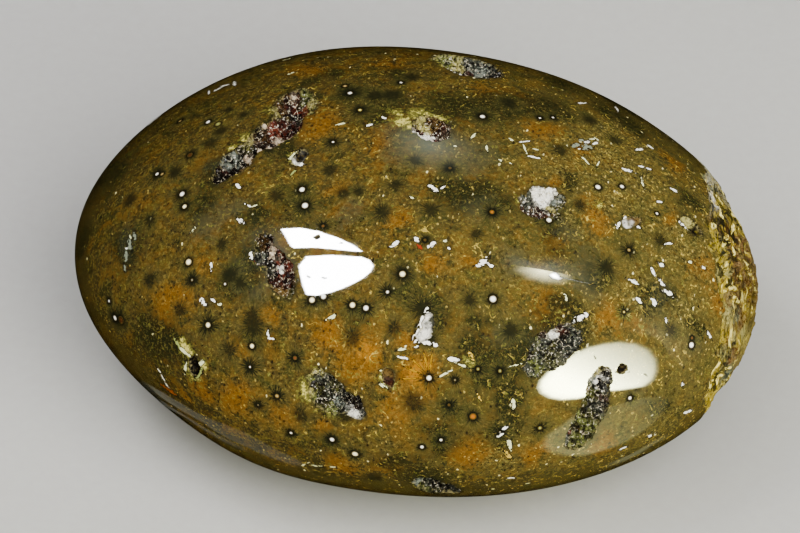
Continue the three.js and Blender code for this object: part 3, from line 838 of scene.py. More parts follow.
# Pepper: dark grains, densest in the warm patches. Flecks, crumbs and threads: pale chalcedony in cracks,
# which grows commoner towards the rind.
drawn_out = add(tree, "ShaderNodeVectorMath", {0: jagged, 1: (1.0, 0.6, 0.75)}, operation="MULTIPLY")
spread = add(tree, "ShaderNodeMath", {0: cloud_masks["warm"], 1: 0.32, 2: 0.12}, operation="MULTIPLY_ADD")
common = {"Value": along_stone, "From Min": -26, "From Max": 30, "To Min": 0.05, "To Max": 0.50}
common = add(tree, "ShaderNodeMapRange", common)
patchy = {"Value": channels["mottle"]["Red"], "From Min": 0.42, "From Max": 0.62}
patchy = add(tree, "ShaderNodeMapRange", patchy | {"To Min": 0.3, "To Max": 1.6})
common = add(tree, "ShaderNodeMath", {0: common, 1: patchy}, operation="MULTIPLY")
shattered = add(tree, "ShaderNodeAttribute", attribute_name="shattered").outputs["Fac"]
common = add(tree, "ShaderNodeMath", {0: shattered, 1: 0.35, 2: common}, operation="MULTIPLY_ADD")
common = add(tree, "ShaderNodeMath", {0: rim_zone, 1: 0.4, 2: common}, operation="MULTIPLY_ADD")
for size, edge, share, most, tint in (
    (PEPPER, 0.36, spread, 0.70, "#16110a"),
    (FLECK, 0.24, common, 0.85, "#a8924a"),
    (CRUMB, 0.13, common, 1.0, "#f2e6a4"),
):
    grains = add(tree, "ShaderNodeTexVoronoi", {"Vector": drawn_out, "Scale": 1 / size})
    grain = {"Value": grains.outputs["Distance"], "From Min": edge, "From Max": edge * 0.5, "To Max": most}
    grain = add(tree, "ShaderNodeMapRange", grain)
    lot = add(tree, "ShaderNodeSeparateColor", {0: grains.outputs["Color"]}).outputs["Red"]
    drawn = add(tree, "ShaderNodeMath", {0: lot, 1: share}, operation="LESS_THAN")
    layers.append((add(tree, "ShaderNodeMath", {0: grain, 1: drawn}, operation="MULTIPLY"), tint))

veins = {"Vector": warped, "Scale": 1 / THREAD, "Detail": 1.0, "Roughness": 0.4}
veins = add(tree, "ShaderNodeTexNoise", veins)
apart = add(tree, "ShaderNodeMath", {0: veins, 1: 0.5}, operation="SUBTRACT")
apart = add(tree, "ShaderNodeMath", {0: apart}, operation="ABSOLUTE")
thread = add(tree, "ShaderNodeMapRange", {"Value": apart, "From Min": 0.014, "From Max": 0.006})
opened = {"Value": channels["tuft"]["Red"], "From Min": 0.55, "From Max": 0.63, "To Max": 4.0}
opened = add(tree, "ShaderNodeMapRange", opened)
opened = add(tree, "ShaderNodeMath", {0: opened, 1: common}, operation="MULTIPLY", use_clamp=True)
layers.append((add(tree, "ShaderNodeMath", {0: thread, 1: opened}, operation="MULTIPLY"), "#b39a40"))

# Shattered jasper is full of dark gaps and pale splinters.
for value, low, high, most, tint in (
    (channels["fibre"]["Green"], 0.47, 0.38, 0.55, "#100e08"),
    (channels["fibre"]["Blue"], 0.54, 0.66, 0.50, "#a8984e"),
):
    splinter = {"Value": value, "From Min": low, "From Max": high, "To Max": most}
    splinter = add(tree, "ShaderNodeMapRange", splinter)
    splinter = add(tree, "ShaderNodeMath", {0: splinter, 1: shattered}, operation="MULTIPLY", use_clamp=True)
    layers.append((splinter, tint))

# Grey and dark clouds lie deeper in the clear quartz and veil the grain. The grey ones also paint hazy
# reflections round the highlights, and the dark ones at the left end also paint the shade on that side.
for name, most, tint in (("grey", 0.45, "#3b3c2a"), ("dark", 0.35, "#171a0d")):
    layers.append((add(tree, "ShaderNodeMath", {0: cloud_masks[name], 1: most}, operation="MULTIPLY"), tint))

# Moss stains, ragged at their edges.
moss_patch = add(tree, "ShaderNodeAttribute", attribute_name="moss").outputs["Fac"]
moss_edge = add(tree, "ShaderNodeMath", {0: moss_patch, 1: ragged_noise}, operation="ADD")
lacy = add(tree, "ShaderNodeMath", {0: channels["fibre"]["Blue"], 1: 3.0, 2: -1.5}, operation="MULTIPLY_ADD")
moss_edge = add(tree, "ShaderNodeMath", {0: moss_edge, 1: lacy}, operation="ADD")
for low, high, most, tint in ((0.45, 0.75, 0.85, "#5f5d24"), (1.0, 1.2, 0.90, "#c4b658")):
    mask = {"Value": moss_edge, "From Min": low, "From Max": high, "To Max": most}
    layers.append((add(tree, "ShaderNodeMapRange", mask), tint))

# The two orbs. Bristles and fur are noise that depends only on the direction from the orb's middle. An orb
# without a heart lies deeper, so its halo is wider and softer.
BRISTLES = 5.0
FUR = 15.0
for side in "ba":
    middle = add(tree, "ShaderNodeAttribute", attribute_name=f"orb_{side}").outputs["Vector"]
    form = add(tree, "ShaderNodeAttribute", attribute_name=f"orb_{side}_form").outputs["Vector"]
    form = add(tree, "ShaderNodeSeparateXYZ", {0: form})
    tint = add(tree, "ShaderNodeAttribute", attribute_name=f"orb_{side}_tint").outputs["Vector"]
    offset = add(tree, "ShaderNodeVectorMath", {0: in_mm, 1: middle}, operation="SUBTRACT")
    radius = add(tree, "ShaderNodeVectorMath", {0: offset}, operation="LENGTH")
    heading = add(tree, "ShaderNodeVectorMath", {0: offset}, operation="NORMALIZE")
    rays = []
    for fineness in (BRISTLES, FUR):
        ray = {0: heading, 1: (fineness,) * 3, 2: in_mm}
        ray = add(tree, "ShaderNodeVectorMath", ray, operation="MULTIPLY_ADD")
        ray = {"Vector": ray, "Scale": 1.0, "Detail": 2.0, "Roughness": 0.7}
        rays.append(add(tree, "ShaderNodeTexNoise", ray))
    reach = {"Value": rays[0], "From Min": 0.35, "From Max": 0.65, "To Min": -0.52, "To Max": 0.36}
    reach = add(tree, "ShaderNodeMapRange", reach)
    reach = add(tree, "ShaderNodeMath", {0: reach, 1: form.outputs["Z"], 2: 0.95}, operation="MULTIPLY_ADD")
    reach = add(tree, "ShaderNodeMath", {0: reach, 1: form.outputs["X"]}, operation="MULTIPLY")
    has_heart = add(tree, "ShaderNodeMath", {0: form.outputs["Y"], 1: 0.05}, operation="GREATER_THAN")
    fullness = add(tree, "ShaderNodeMath", {0: has_heart, 1: 0.12, 2: 0.88}, operation="MULTIPLY_ADD")
    diffuse = add(tree, "ShaderNodeMath", {0: has_heart, 1: -0.25, 2: 1.25}, operation="MULTIPLY_ADD")
    reach = add(tree, "ShaderNodeMath", {0: reach, 1: diffuse}, operation="MULTIPLY")
    inward = add(tree, "ShaderNodeMath", {0: radius, 1: reach}, operation="DIVIDE")
    furry = {"Value": inward, "From Min": 1.9, "From Max": 0.9, "To Max": 0.38}
    furry = add(tree, "ShaderNodeMapRange", furry)
    for low, high, shade in ((0.5, 0.66, "#6a5830"), (0.5, 0.34, "#161206")):
        hair = add(tree, "ShaderNodeMapRange", {"Value": rays[1], "From Min": low, "From Max": high})
        layers.append((add(tree, "ShaderNodeMath", {0: hair, 1: furry}, operation="MULTIPLY"), shade))
    for outer, inner, most, shade in ((1.7, 1.1, 0.22, "#3f421c"), (1.18, 0.45, 0.90, "#0f110a")):
        halo = {"Value": inward, "From Min": outer, "From Max": inner, "To Max": most}
        halo = add(tree, "ShaderNodeMapRange", halo)
        layers.append((add(tree, "ShaderNodeMath", {0: halo, 1: fullness}, operation="MULTIPLY"), shade))
    glow = {"Value": radius, "From Min": 0.3, "From Max": 0.0, "To Min": 0.85, "To Max": 1.6}
    glow = add(tree, "ShaderNodeMapRange", glow)
    tint = add(tree, "ShaderNodeVectorMath", {0: tint, "Scale": glow}, operation="SCALE").outputs[0]
    from_heart = add(tree, "ShaderNodeMath", {0: radius, 1: form.outputs["Y"]}, operation="SUBTRACT")
    for near, far, most, shade in (
        (0.04, 0.24, 0.80, "#080704"),
        (-0.02, 0.05, 0.50, "#5a4a22"),
        (-0.15, -0.02, 1.0, tint),
    ):
        core = {"Value": from_heart, "From Min": far, "From Max": near, "To Max": most}
        core = add(tree, "ShaderNodeMapRange", core)
        layers.append((add(tree, "ShaderNodeMath", {0: core, 1: has_heart}, operation="MULTIPLY"), shade))

# The chip: a ragged oval that is splintered at its edge, with a dark line round it.
chip_middle = add(tree, "ShaderNodeAttribute", attribute_name="chip").outputs["Vector"]
chip_along = add(tree, "ShaderNodeAttribute", attribute_name="chip_along").outputs["Vector"]
chip_form = add(tree, "ShaderNodeAttribute", attribute_name="chip_form").outputs["Vector"]
chip_form = add(tree, "ShaderNodeSeparateXYZ", {0: chip_form})
chip_tint = add(tree, "ShaderNodeAttribute", attribute_name="chip_tint").outputs["Vector"]
offset = add(tree, "ShaderNodeVectorMath", {0: in_mm, 1: chip_middle}, operation="SUBTRACT")
lengthwise = add(tree, "ShaderNodeVectorMath", {0: offset, 1: chip_along}, operation="DOT_PRODUCT")
straight = add(tree, "ShaderNodeVectorMath", {0: chip_along, "Scale": lengthwise}, operation="SCALE")
sideways = add(tree, "ShaderNodeVectorMath", {0: offset, 1: straight}, operation="DISTANCE")
parts = []
for distance, half in ((lengthwise, "X"), (sideways, "Y")):
    part = add(tree, "ShaderNodeMath", {0: distance, 1: chip_form.outputs[half]}, operation="DIVIDE")
    parts.append(add(tree, "ShaderNodeMath", {0: part, 1: 2.0}, operation="POWER"))
oval = add(tree, "ShaderNodeMath", {0: parts[0], 1: parts[1]}, operation="ADD")
oval = add(tree, "ShaderNodeMath", {0: oval, 1: 0.5}, operation="POWER")
CHIP_GRAIN = 0.26
splinters = add(tree, "ShaderNodeTexVoronoi", {"Vector": in_mm, "Scale": 1 / CHIP_GRAIN})
splinter_lot = add(tree, "ShaderNodeSeparateColor", {0: splinters.outputs["Color"]}).outputs["Red"]
oval = add(tree, "ShaderNodeMath", {0: splinter_lot, 1: 1.0, 2: oval}, operation="MULTIPLY_ADD")
for low, high, most, shade in ((2.0, 1.5, 0.8, "#12100a"), (1.34, 1.22, 1.0, chip_tint)):
    mask = {"Value": oval, "From Min": low, "From Max": high, "To Max": most}
    layers.append((add(tree, "ShaderNodeMapRange", mask), shade))

colour = linear("#3d3316")
for mask, tint in layers:
    tint = linear(tint) if isinstance(tint, str) else tint
    colour = add(tree, "ShaderNodeMix", {0: mask, 6: colour, 7: tint}, data_type="RGBA")
tree.links.new(colour.outputs[2], finish.inputs["Base Color"])
# The polish is glassy, and a pinhole in it is dull.
pinhole = add(tree, "ShaderNodeMath", {0: layers[-1][0], 1: chip_form.outputs["Z"]}, operation="MULTIPLY")
dull = add(tree, "ShaderNodeMapRange", {"Value": pinhole, "To Min": 0.025, "To Max": 0.7})
tree.links.new(dull.outputs[0], finish.inputs["Roughness"])
finish.inputs["IOR"].default_value = 1.54

# Broken jasper, as the pick and the wheel's edge left it: hackly, nearly without gloss, painted darker
# where it is deep as the shade in the hollows, and pale where its edge is bruised. The rind is built of thin
# layers across the stone's long axis, so its golden and brown flakes and their painted yellow glints are
# drawn out along them, and its outer face is calmer.
broken = bpy.data.materials.new("broken_jasper_and_rind")
broken.use_nodes = True
tree = broken.node_tree
finish = tree.nodes["Principled BSDF"]
object_place = add(tree, "ShaderNodeTexCoord").outputs["Object"]
in_mm = add(tree, "ShaderNodeVectorMath", {0: object_place, "Scale": 1000.0}, operation="SCALE")
crumble = {"Vector": in_mm, "Scale": 1 / FIBRE, "Detail": 3.0, "Roughness": 0.7}
crumble = add(tree, "ShaderNodeTexNoise", crumble)
patches = add(tree, "ShaderNodeTexNoise", {"Vector": in_mm, "Scale": 1 / TUFT, "Detail": 2.0})
cut_depth = add(tree, "ShaderNodeAttribute", attribute_name="cut_depth").outputs["Fac"]
rim_distance = add(tree, "ShaderNodeAttribute", attribute_name="rim").outputs["Fac"]
rind_mask = add(tree, "ShaderNodeAttribute", attribute_name="rind").outputs["Fac"]
bruised = add(tree, "ShaderNodeMapRange", {"Value": rim_distance, "From Min": -0.35, "From Max": -0.08})
bruised = add(tree, "ShaderNodeMath", {0: bruised, 1: crumble}, operation="MULTIPLY")
layers = []
for value, low, high, most, tint in (
    (crumble, 0.54, 0.72, 0.35, "#6b5a30"),
    (patches, 0.56, 0.66, 0.30, "#34322a"),
    (bruised, 0.46, 0.60, 0.45, "#8a7f52"),
    (crumble, 0.49, 0.36, 0.85, "#0a0805"),
    # Painted shade: the deeper the cut, the darker.
    (cut_depth, 0.45, 1.10, 0.75, "#090705"),
):
    limits = {"Value": value, "From Min": low, "From Max": high, "To Max": most}
    layers.append((add(tree, "ShaderNodeMapRange", limits), tint))
# The flakes' size, and where along the stone they begin to give way to the outer face.
FLAKE = 0.72
OUTER_FACE = 32.9
FLAKES_BEGIN = 31.3
layers_place = add(tree, "ShaderNodeAttribute", attribute_name="rind_layers").outputs["Vector"]
streaks = {"Vector": layers_place, "Scale": 1 / FLAKE, "Detail": 4.0, "Roughness": 0.62, "Distortion": 0.6}
streaks = add(tree, "ShaderNodeTexNoise", streaks)
streaks = add(tree, "ShaderNodeSeparateColor", {0: streaks.outputs["Color"]})
along_stone = add(tree, "ShaderNodeSeparateXYZ", {0: in_mm}).outputs["X"]
flaky = add(tree, "ShaderNodeMath", {0: patches, 1: 2.4, 2: along_stone}, operation="MULTIPLY_ADD")
flaky = {"Value": flaky, "From Min": OUTER_FACE, "From Max": FLAKES_BEGIN, "To Min": 0.30, "To Max": 1.0}
flaky = add(tree, "ShaderNodeMapRange", flaky)
flaky = add(tree, "ShaderNodeMath", {0: flaky, 1: rind_mask}, operation="MULTIPLY")
for channel, low, high, most, tint in (
    ("Green", 0.50, 0.60, 0.60, "#5a4818"),
    ("Red", 0.50, 0.58, 0.80, "#a08a1e"),
    ("Blue", 0.50, 0.44, 0.90, "#14140a"),
    # A painted glint on the flakes.
    ("Red", 0.58, 0.62, 0.90, "#efdf80"),
    ("Green", 0.40, 0.34, 0.70, "#3b240d"),
):
    streak = {"Value": streaks.outputs[channel], "From Min": low, "From Max": high, "To Max": most}
    streak = add(tree, "ShaderNodeMapRange", streak)
    layers.append((add(tree, "ShaderNodeMath", {0: streak, 1: flaky}, operation="MULTIPLY"), tint))
colour = add(tree, "ShaderNodeAttribute", attribute_name="lining").outputs["Vector"]
for mask, tint in layers:
    colour = add(tree, "ShaderNodeMix", {0: mask, 6: colour, 7: linear(tint)}, data_type="RGBA")
tree.links.new(colour.outputs[2], finish.inputs["Base Color"])
relief = add(tree, "ShaderNodeBump", {"Height": crumble, "Distance": 0.00012, "Strength": 0.8})
tree.links.new(relief.outputs[0], finish.inputs["Normal"])
finish.inputs["Roughness"].default_value = 0.6
finish.inputs["IOR"].default_value = 1.54
finish.inputs["Specular IOR Level"].default_value = 0.0

stone_mesh.materials.append(jasper)
stone_mesh.materials.append(broken)
stone_mesh.polygons.foreach_set("material_index", is_cut.astype(np.int32))
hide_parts("stone")
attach(stone, "root")


# ---------------------------------------------------------------------------------------------------------
# The crystal linings: crusts of small quartz points that grew on the walls of the open hollows. Each crust
# is grown from the hollow's own floor, and where a crystal met the polishing wheel it is cut off flush.
# ---------------------------------------------------------------------------------------------------------
# The closest spacing of the crystals in each hollow, and the smallest and largest crystal, across.
CRYSTALS = {
    "long_vug": (0.20, 0.18, 0.60),
    "top_vug": (0.20, 0.18, 0.50),
    "crown_vug": (0.19, 0.17, 0.45),
    "sparkle_vug": (0.21, 0.19, 0.60),
    "red_vug": (0.18, 0.16, 0.42),
    "grey_vug": (0.17, 0.15, 0.40),
    "crackle_vug": (0.16, 0.14, 0.36),
    "cleft_vug": (0.22, 0.20, 0.60),
    "foot_vug": (0.18, 0.16, 0.42),
}

# Quartz druse: glassy six-sided points, white to smoky, stained by iron to red-brown. Their glints are
# painted, as pale tips and bright lines along their edges, and many crystals are painted dark as shade.
quartz = bpy.data.materials.new("stained_quartz_druse")
quartz.use_nodes = True
tree = quartz.node_tree
finish = tree.nodes["Principled BSDF"]
stain = add(tree, "ShaderNodeAttribute", attribute_name="lining").outputs["Vector"]
shade_and_glint = add(tree, "ShaderNodeAttribute", attribute_name="shade_and_glint").outputs["Fac"]
object_place = add(tree, "ShaderNodeTexCoord").outputs["Object"]
# The sizes of the smoky veils in the crystals, and of the cells between the painted glint lines along their
# edges.
VEIL = 1 / 3
GLINT_SPACING = 0.5263
veil = add(tree, "ShaderNodeTexNoise", {"Vector": object_place, "Scale": 1000 / VEIL, "Detail": 1.0})
tip = add(tree, "ShaderNodeAttribute", attribute_name="tip").outputs["Fac"]
# Painted glints on the tips of the crystals with the highest share.
painted_tip_glint = add(tree, "ShaderNodeMath", {0: shade_and_glint, 1: tip}, operation="MULTIPLY")
# Painted glints in lines along the crystals' edges.
glint_lines = {"Vector": object_place, "Scale": 1000 / GLINT_SPACING}
glint_lines = add(tree, "ShaderNodeTexVoronoi", glint_lines, feature="DISTANCE_TO_EDGE")
glint_lines = add(tree, "ShaderNodeMapRange", {"Value": glint_lines, "From Min": 0.10, "From Max": 0.03})
painted_edge_glints = add(tree, "ShaderNodeMath", {0: glint_lines, 1: veil}, operation="MULTIPLY")
paleness = add(tree, "ShaderNodeRGBToBW", {0: stain})
# Painted shade: many crystals are darkened at random, pale ones less.
painted_crystal_shade = add(tree, "ShaderNodeMath", {0: paleness, 1: 0.6, 2: shade_and_glint}, operation="MULTIPLY_ADD")
veiled = add(tree, "ShaderNodeMath", {0: paleness, 1: 0.15, 2: veil}, operation="MULTIPLY_ADD")
colour = stain
for mask, low, high, most, tint in (
    (painted_crystal_shade, 0.56, 0.20, 0.90, "#080605"),
    (veiled, 0.49, 0.36, 0.85, "#080605"),
    (painted_edge_glints, 0.50, 0.58, 0.75, "#b8ad94"),
    (painted_tip_glint, 0.78, 0.94, 0.50, "#ece6d2"),
):
    limits = {"Value": mask, "From Min": low, "From Max": high, "To Max": most}
    cover = add(tree, "ShaderNodeMapRange", limits)
    colour = add(tree, "ShaderNodeMix", {0: cover, 6: colour, 7: linear(tint)}, data_type="RGBA")
tree.links.new(colour.outputs[2], finish.inputs["Base Color"])
finish.inputs["Roughness"].default_value = 0.3
finish.inputs["IOR"].default_value = 1.544
finish.inputs["Specular IOR Level"].default_value = 0.02

# The tree: crystals stand on scattered points of the floor, each leaning its own way. A crystal of width 1
# is a six-sided prism as far as its shoulder, which is lifted a little, and a point above it.
tree = bpy.data.node_groups.new("crystal_lining", "GeometryNodeTree")
tree.interface.new_socket("Geometry", in_out="INPUT", socket_type="NodeSocketGeometry")
tree.interface.new_socket("Geometry", in_out="OUTPUT", socket_type="NodeSocketGeometry")
sockets = {}
for name, kind in (("Spacing", "Float"), ("Smallest", "Float"), ("Largest", "Float"), ("Seed", "Int")):
    socket = tree.interface.new_socket(name, in_out="INPUT", socket_type=f"NodeSocket{kind}")
    sockets[name] = socket.identifier
given = add(tree, "NodeGroupInput").outputs
DENSEST = 8.0e7
MOST_LEAN = 1.0
CRYSTAL_HEIGHT = 1.1
ROOT = 0.35
scattered = {
    "Mesh": given["Geometry"],
    "Distance Min": given["Spacing"],
    "Density Max": DENSEST,
    "Seed": given["Seed"],
}
scattered = add(tree, "GeometryNodeDistributePointsOnFaces", scattered, distribute_method="POISSON")
prism = {"Vertices": 6, "Side Segments": 2, "Radius Top": 0.0, "Radius Bottom": 0.5}
prism = add(tree, "GeometryNodeMeshCone", prism | {"Depth": CRYSTAL_HEIGHT})
corner = add(tree, "GeometryNodeInputPosition")
height = add(tree, "ShaderNodeSeparateXYZ", {0: corner})
shoulder = {0: height.outputs["Z"], 1: CRYSTAL_HEIGHT / 2, 12: 0.1}
shoulder = add(tree, "FunctionNodeCompare", shoulder, operation="EQUAL")
full_width = add(tree, "ShaderNodeVectorMath", {0: corner, 1: (2.0, 2.0, 1.2)}, operation="MULTIPLY")
prism = {"Geometry": prism.outputs["Mesh"], "Selection": shoulder, "Position": full_width}
prism = add(tree, "GeometryNodeSetPosition", prism)
prism = {"Geometry": prism, "Name": "tip", "Value": height.outputs["Z"]}
prism = add(tree, "GeometryNodeStoreNamedAttribute", prism, data_type="FLOAT", domain="POINT")
sunk = add(tree, "GeometryNodeTransform", {"Geometry": prism, "Translation": (0.0, 0.0, -ROOT)})
lean = {0: (-MOST_LEAN, -MOST_LEAN, -3.1), 1: (MOST_LEAN, MOST_LEAN, 3.1), "Seed": given["Seed"]}
lean = add(tree, "FunctionNodeRandomValue", lean, data_type="FLOAT_VECTOR")
turned = {"Rotation": scattered.outputs["Rotation"], "Rotate By": lean}
turned = add(tree, "FunctionNodeRotateRotation", turned, rotation_space="LOCAL")
width = {2: given["Smallest"], 3: given["Largest"], "Seed": given["Seed"]}
width = add(tree, "FunctionNodeRandomValue", width, data_type="FLOAT")
standing = {
    "Points": scattered.outputs["Points"],
    "Instance": sunk,
    "Rotation": turned,
    "Scale": width,
}
standing = add(tree, "GeometryNodeInstanceOnPoints", standing)
# Each crystal's random share, from painted shade at its low end to painted glints at its high end.
brightness = add(tree, "FunctionNodeRandomValue", {2: 0.0, 3: 1.0, "Seed": 3}, data_type="FLOAT")
named = {"Geometry": standing, "Name": "shade_and_glint", "Value": brightness}
named = add(tree, "GeometryNodeStoreNamedAttribute", named, data_type="FLOAT", domain="INSTANCE")
loose = add(tree, "GeometryNodeRealizeInstances", {"Geometry": named})
facetted = add(tree, "GeometryNodeSetShadeSmooth", {"Geometry": loose, "Shade Smooth": False})
finished = add(tree, "GeometryNodeSetMaterial", {"Geometry": facetted, "Material": quartz})
add(tree, "NodeGroupOutput", {"Geometry": finished})

SHALLOWEST_CRUST = 0.06
on_floor = (depth > SHALLOWEST_CRUST)[corners].all(axis=1)
face_hollow = np.where(on_floor, hollow_of[corners].max(axis=1), -1)
for index, (name, (spacing, smallest, largest)) in enumerate(CRYSTALS.items()):
    faces = corners[face_hollow == index]
    used, faces = np.unique(faces, return_inverse=True)
    floor_mesh = bpy.data.meshes.new(name)
    floor_mesh.from_pydata(cut[used] * MM, [], faces.reshape(-1, 3))
    keep(floor_mesh, "lining", "FLOAT_VECTOR", "POINT", lining[used])
    crust = bpy.data.objects.new(f"{name}_quartz_points", floor_mesh)
    bpy.context.collection.objects.link(crust)
    growth = crust.modifiers.new("growth", "NODES")
    growth.node_group = tree
    for label, value in (("Spacing", spacing * MM), ("Smallest", smallest * MM), ("Largest", largest * MM)):
        growth[sockets[label]] = value
    growth[sockets["Seed"]] = index
    bpy.context.view_layer.update()
    graph = bpy.context.evaluated_depsgraph_get()
    grown = bpy.data.meshes.new_from_object(
        crust.evaluated_get(graph), preserve_all_data_layers=True, depsgraph=graph
    )
    crust.modifiers.clear()
    crust.data = grown

    # The polishing wheel's cut: no crystal stands past the skin.
    tips = np.empty(len(grown.vertices) * 3)
    grown.vertices.foreach_get("co", tips)
    tips = tips.reshape(-1, 3) / MM
    headings = unit((tips - MIDDLE) / SEMI_AXES)
    limit = skin(headings)
    proud = np.linalg.norm(tips - MIDDLE, axis=1) > np.linalg.norm(limit - MIDDLE, axis=1)
    tips[proud] = limit[proud]
    grown.vertices.foreach_set("co", (tips * MM).ravel())
    grown.update()
    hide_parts(f"{name}_crystals")
    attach(crust, "root")


# ---------------------------------------------------------------------------------------------------------
# The floor: a five metre sheet of matt pale paper, larger than anything that is seen of it.
# ---------------------------------------------------------------------------------------------------------
FLOOR_HALF = 2.5
floor_mesh = bpy.data.meshes.new("pale_floor")
floor_corners = [(x * FLOOR_HALF, y * FLOOR_HALF, 0) for x, y in ((-1, -1), (1, -1), (1, 1), (-1, 1))]
floor_mesh.from_pydata(floor_corners, [], [(0, 1, 2, 3)])
floor = bpy.data.objects.new("pale_floor", floor_mesh)
bpy.context.collection.objects.link(floor)

# Matt paper: no gloss, and very faintly uneven, with its felt drawn about a millimetre wide so as to show.
FELTS_PER_METRE = 900.0
paper = bpy.data.materials.new("matt_pale_paper")
paper.use_nodes = True
tree = paper.node_tree
finish = tree.nodes["Principled BSDF"]
object_place = add(tree, "ShaderNodeTexCoord").outputs["Object"]
felt = add(tree, "ShaderNodeTexNoise", {"Vector": object_place, "Scale": FELTS_PER_METRE, "Detail": 3.0})
sheet = add(tree, "ShaderNodeMix", {0: felt, 6: linear("#94928e"), 7: linear("#9b9a96")}, data_type="RGBA")
tree.links.new(sheet.outputs[2], finish.inputs["Base Color"])
finish.inputs["Roughness"].default_value = 0.9
floor_mesh.materials.append(paper)
floor.visible_glossy = False


# ---------------------------------------------------------------------------------------------------------
# The light: white softboxes whose shapes are mirrored in the polish, and soft lamps that light the stone
# without being mirrored. A softbox is given by the outline of its reflection, in the view's points.
# ---------------------------------------------------------------------------------------------------------
BOX_DISTANCE = 500
# The outline of the reflection, its tint and brightness, the share of that at its dimmer end, the bearing of
# that end in the view, and how much of the way from its edge to its middle the light takes to rise.
SOFTBOXES = {
    "window_upper": ([
        (281, 229), (300, 228), (318, 231), (338, 238), (355, 246), (363, 252), (350, 251), (330, 249),
        (310, 248), (292, 248),
    ], "#ffffff", 350, 1, 0, 0.05),
    "window_lower": ([
        (297, 257), (315, 256), (330, 255), (345, 256), (362, 257), (370, 260), (374, 266), (371, 272),
        (364, 278), (355, 283), (342, 289), (330, 293), (316, 296), (306, 295), (301, 276),
    ], "#ffffff", 350, 1, 0, 0.05),
    "round_box": ([
        (536, 388), (538, 381), (545, 373), (557, 363), (572, 353), (588, 346), (604, 342), (620, 340),
        (638, 342), (651, 348), (659, 358), (660, 370), (656, 380), (647, 387), (630, 390), (610, 392),
        (595, 396), (576, 400), (560, 401), (548, 399), (539, 394),
    ], "#eef0b8", 330, 0.10, 65, 0.14),
    "round_box_on_the_table": ([
        (538, 447), (543, 436), (556, 427), (572, 415), (592, 409), (613, 405), (630, 400), (646, 396),
        (665, 395), (672, 399), (666, 412), (654, 425), (637, 437), (620, 446), (600, 453), (583, 457),
        (562, 457), (546, 453),
    ], "#cdd092", 5.0, 0.30, 0, 0.08),
    "glow": ([
        (508, 270), (516, 259), (534, 255), (554, 258), (570, 266), (580, 280), (566, 287), (545, 286),
        (524, 281),
    ], "#f2ecb8", 90, 1, 0, 1),
    "glow_core": ([
        (546, 274), (550, 271), (557, 272), (564, 279), (560, 281), (552, 279),
    ], "#fffdf2", 600, 1, 0, 1),
    "glow_haze": ([
        (486, 254), (504, 250), (522, 256), (545, 254), (570, 254), (590, 262), (604, 284), (590, 296),
        (568, 290), (540, 286), (512, 280), (492, 268),
    ], "#aebfc4", 6.0, 1, 0, 1),
    "back_haze": ([
        (362, 124), (390, 114), (420, 114), (455, 122), (484, 138), (496, 160), (476, 176), (440, 180),
        (404, 174), (376, 154),
    ], "#b9cabc", 4.4, 1, 0, 1),
    "side_haze": ([
        (246, 218), (270, 208), (294, 218), (306, 250), (308, 285), (290, 310), (264, 302), (248, 262),
    ], "#b9c4c4", 2.8, 1, 0, 1),
    "shoulder_haze": ([
        (596, 300), (640, 288), (690, 310), (708, 350), (700, 394), (684, 386), (668, 352), (646, 334),
        (610, 328),
    ], "#d8cfa8", 2.2, 1, 0, 1),
    "table_band": ([
        (141, 380), (160, 393), (179, 405), (203, 415), (225, 424), (245, 432), (262, 441), (278, 450),
        (295, 458), (310, 466), (303, 468), (290, 465), (270, 458), (250, 449), (230, 440), (212, 430),
        (203, 423), (190, 416), (170, 404), (150, 391),
    ], "#c8d2c8", 0.45, 1, 0, 0.12),
    "table_edge": ([
        (598, 468), (620, 459), (640, 449), (655, 440), (673, 430), (674, 433), (656, 444), (641, 454),
        (621, 464), (600, 471),
    ], "#c9d0a6", 0.7, 1, 0, 0.5),
    "table_line": ([
        (150, 394), (179, 411), (203, 427), (230, 443), (256, 454), (256, 456), (230, 446), (203, 430),
        (179, 414), (150, 397),
    ], "#d2d4cc", 0.25, 1, 0, 0.3),
}
# A softbox is a sheet of rings that shrink towards its middle, so that its light can rise from the edge. The
# light falls off between a quarter and nine tenths of the way to its dimmer end.
RINGS = (1.0, 0.95, 0.88, 0.75, 0.55, 0.3)
DIM_DELAY = 0.45
DIM_PACE = 1.6


def mirrored(outline):
    """The corners of a flat light whose reflection in the polish has this outline in the view."""
    directions = seen_at(outline)
    places = skin(directions)
    side = unit(np.cross(directions, [0, 0, 1]))
    over = np.cross(side, directions)
    steps = [skin(unit(directions + 0.001 * way)) - places for way in (side, over)]
    normals = unit(np.cross(*steps))
    normals *= np.sign((normals * directions).sum(axis=1))[:, None]
    sight = unit(places - eye)
    rays = sight - 2 * (sight * normals).sum(axis=1)[:, None] * normals
    forward = unit(rays.mean(axis=0))
    far = (BOX_DISTANCE - (places - places.mean(axis=0)) @ forward) / (rays @ forward)
    return places + rays * far[:, None]


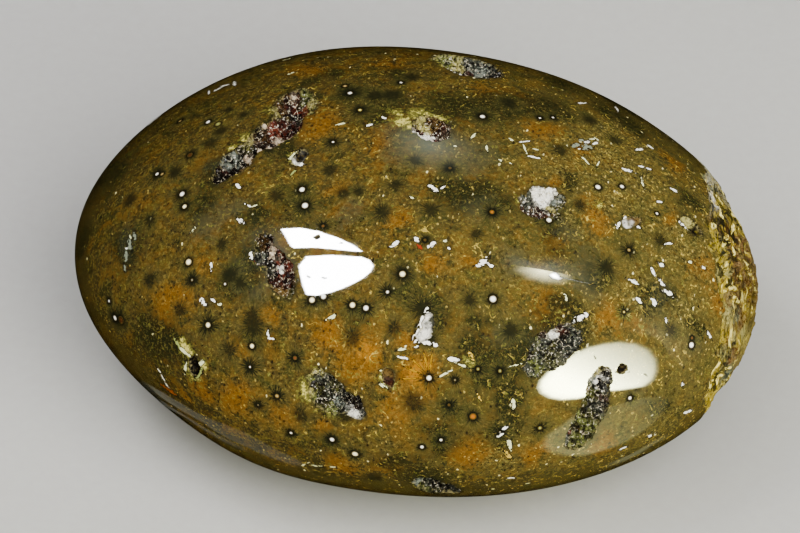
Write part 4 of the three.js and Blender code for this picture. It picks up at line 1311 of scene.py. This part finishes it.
for name, (outline, tint, light, dim_share, bearing, rise) in SOFTBOXES.items():
    outline = np.array(outline, dtype=float)
    count = len(outline)
    centre = outline.mean(axis=0)
    seen = np.vstack([centre + (outline - centre) * share for share in RINGS] + [centre])
    inwards = 1 - np.append(np.repeat(RINGS, count), 0)
    to_dim_end = seen @ (math.cos(math.radians(bearing)), -math.sin(math.radians(bearing)))
    dimming = (to_dim_end - to_dim_end.min()) / np.ptp(to_dim_end) * DIM_PACE - DIM_DELAY
    dimming = np.clip(dimming, 0, 1)
    strengths = light * np.clip(inwards / rise, 0, 1) ** 2 * dim_share**dimming
    box_mesh = bpy.data.meshes.new(name)
    sheets = []
    for ring in range(len(RINGS)):
        for k in range(count):
            this = ring * count + k
            following = ring * count + (k + 1) % count
            if ring + 1 < len(RINGS):
                sheets.append((this, following, following + count, this + count))
            else:
                sheets.append((this, following, len(seen) - 1))
    box_mesh.from_pydata(mirrored(seen) * MM, [], sheets)
    keep(box_mesh, "light", "FLOAT", "POINT", strengths)
    glass = bpy.data.materials.new(f"lit_{name}")
    glass.use_nodes = True
    tree = glass.node_tree
    tree.nodes.clear()
    strength = add(tree, "ShaderNodeAttribute", attribute_name="light").outputs["Fac"]
    lit = add(tree, "ShaderNodeEmission", {"Color": linear(tint), "Strength": strength})
    add(tree, "ShaderNodeOutputMaterial", {"Surface": lit})
    box_mesh.materials.append(glass)
    softbox = bpy.data.objects.new(name, box_mesh)
    bpy.context.collection.objects.link(softbox)
    softbox.visible_camera = False
    softbox.visible_diffuse = False
    softbox.visible_shadow = False


def facing(azimuth, elevation):
    """The direction towards a light that stands at this azimuth and height, and its two sides."""
    azimuth, elevation = math.radians(azimuth), math.radians(elevation)
    level = math.cos(elevation)
    to_light = np.array([math.sin(azimuth) * level, -math.cos(azimuth) * level, math.sin(elevation)])
    across = unit(np.cross([0, 0, 1], to_light))
    return to_light, across, np.cross(to_light, across)


# The lamps' azimuth and height in degrees, distance and width in metres, and power in watts.
LAMPS = {
    "key_lamp": (40, 48, 0.6, 0.4, 7.6),
    "top_lamp": (-10, 58, 0.55, 0.35, 2.4),
    "back_lamp": (-150, 45, 0.6, 0.4, 0.6),
}
for name, (azimuth, height, distance, size, power) in LAMPS.items():
    to_light, across, upward = facing(azimuth, height)
    lamp = bpy.data.objects.new(name, bpy.data.lights.new(name, "AREA"))
    lamp.data.shape = "DISK"
    lamp.data.size = size
    lamp.data.energy = power
    columns = (across, upward, to_light, to_light * distance)
    lamp.matrix_world = Matrix([[*row] for row in zip(*columns)]).to_4x4()
    bpy.context.collection.objects.link(lamp)
    lamp.visible_glossy = False

world = bpy.data.worlds.new("dim_studio")
world.use_nodes = True
world.node_tree.nodes["Background"].inputs["Color"].default_value = linear("#ffffff")
world.node_tree.nodes["Background"].inputs["Strength"].default_value = 0.22
world.cycles_visibility.glossy = False
bpy.context.scene.world = world
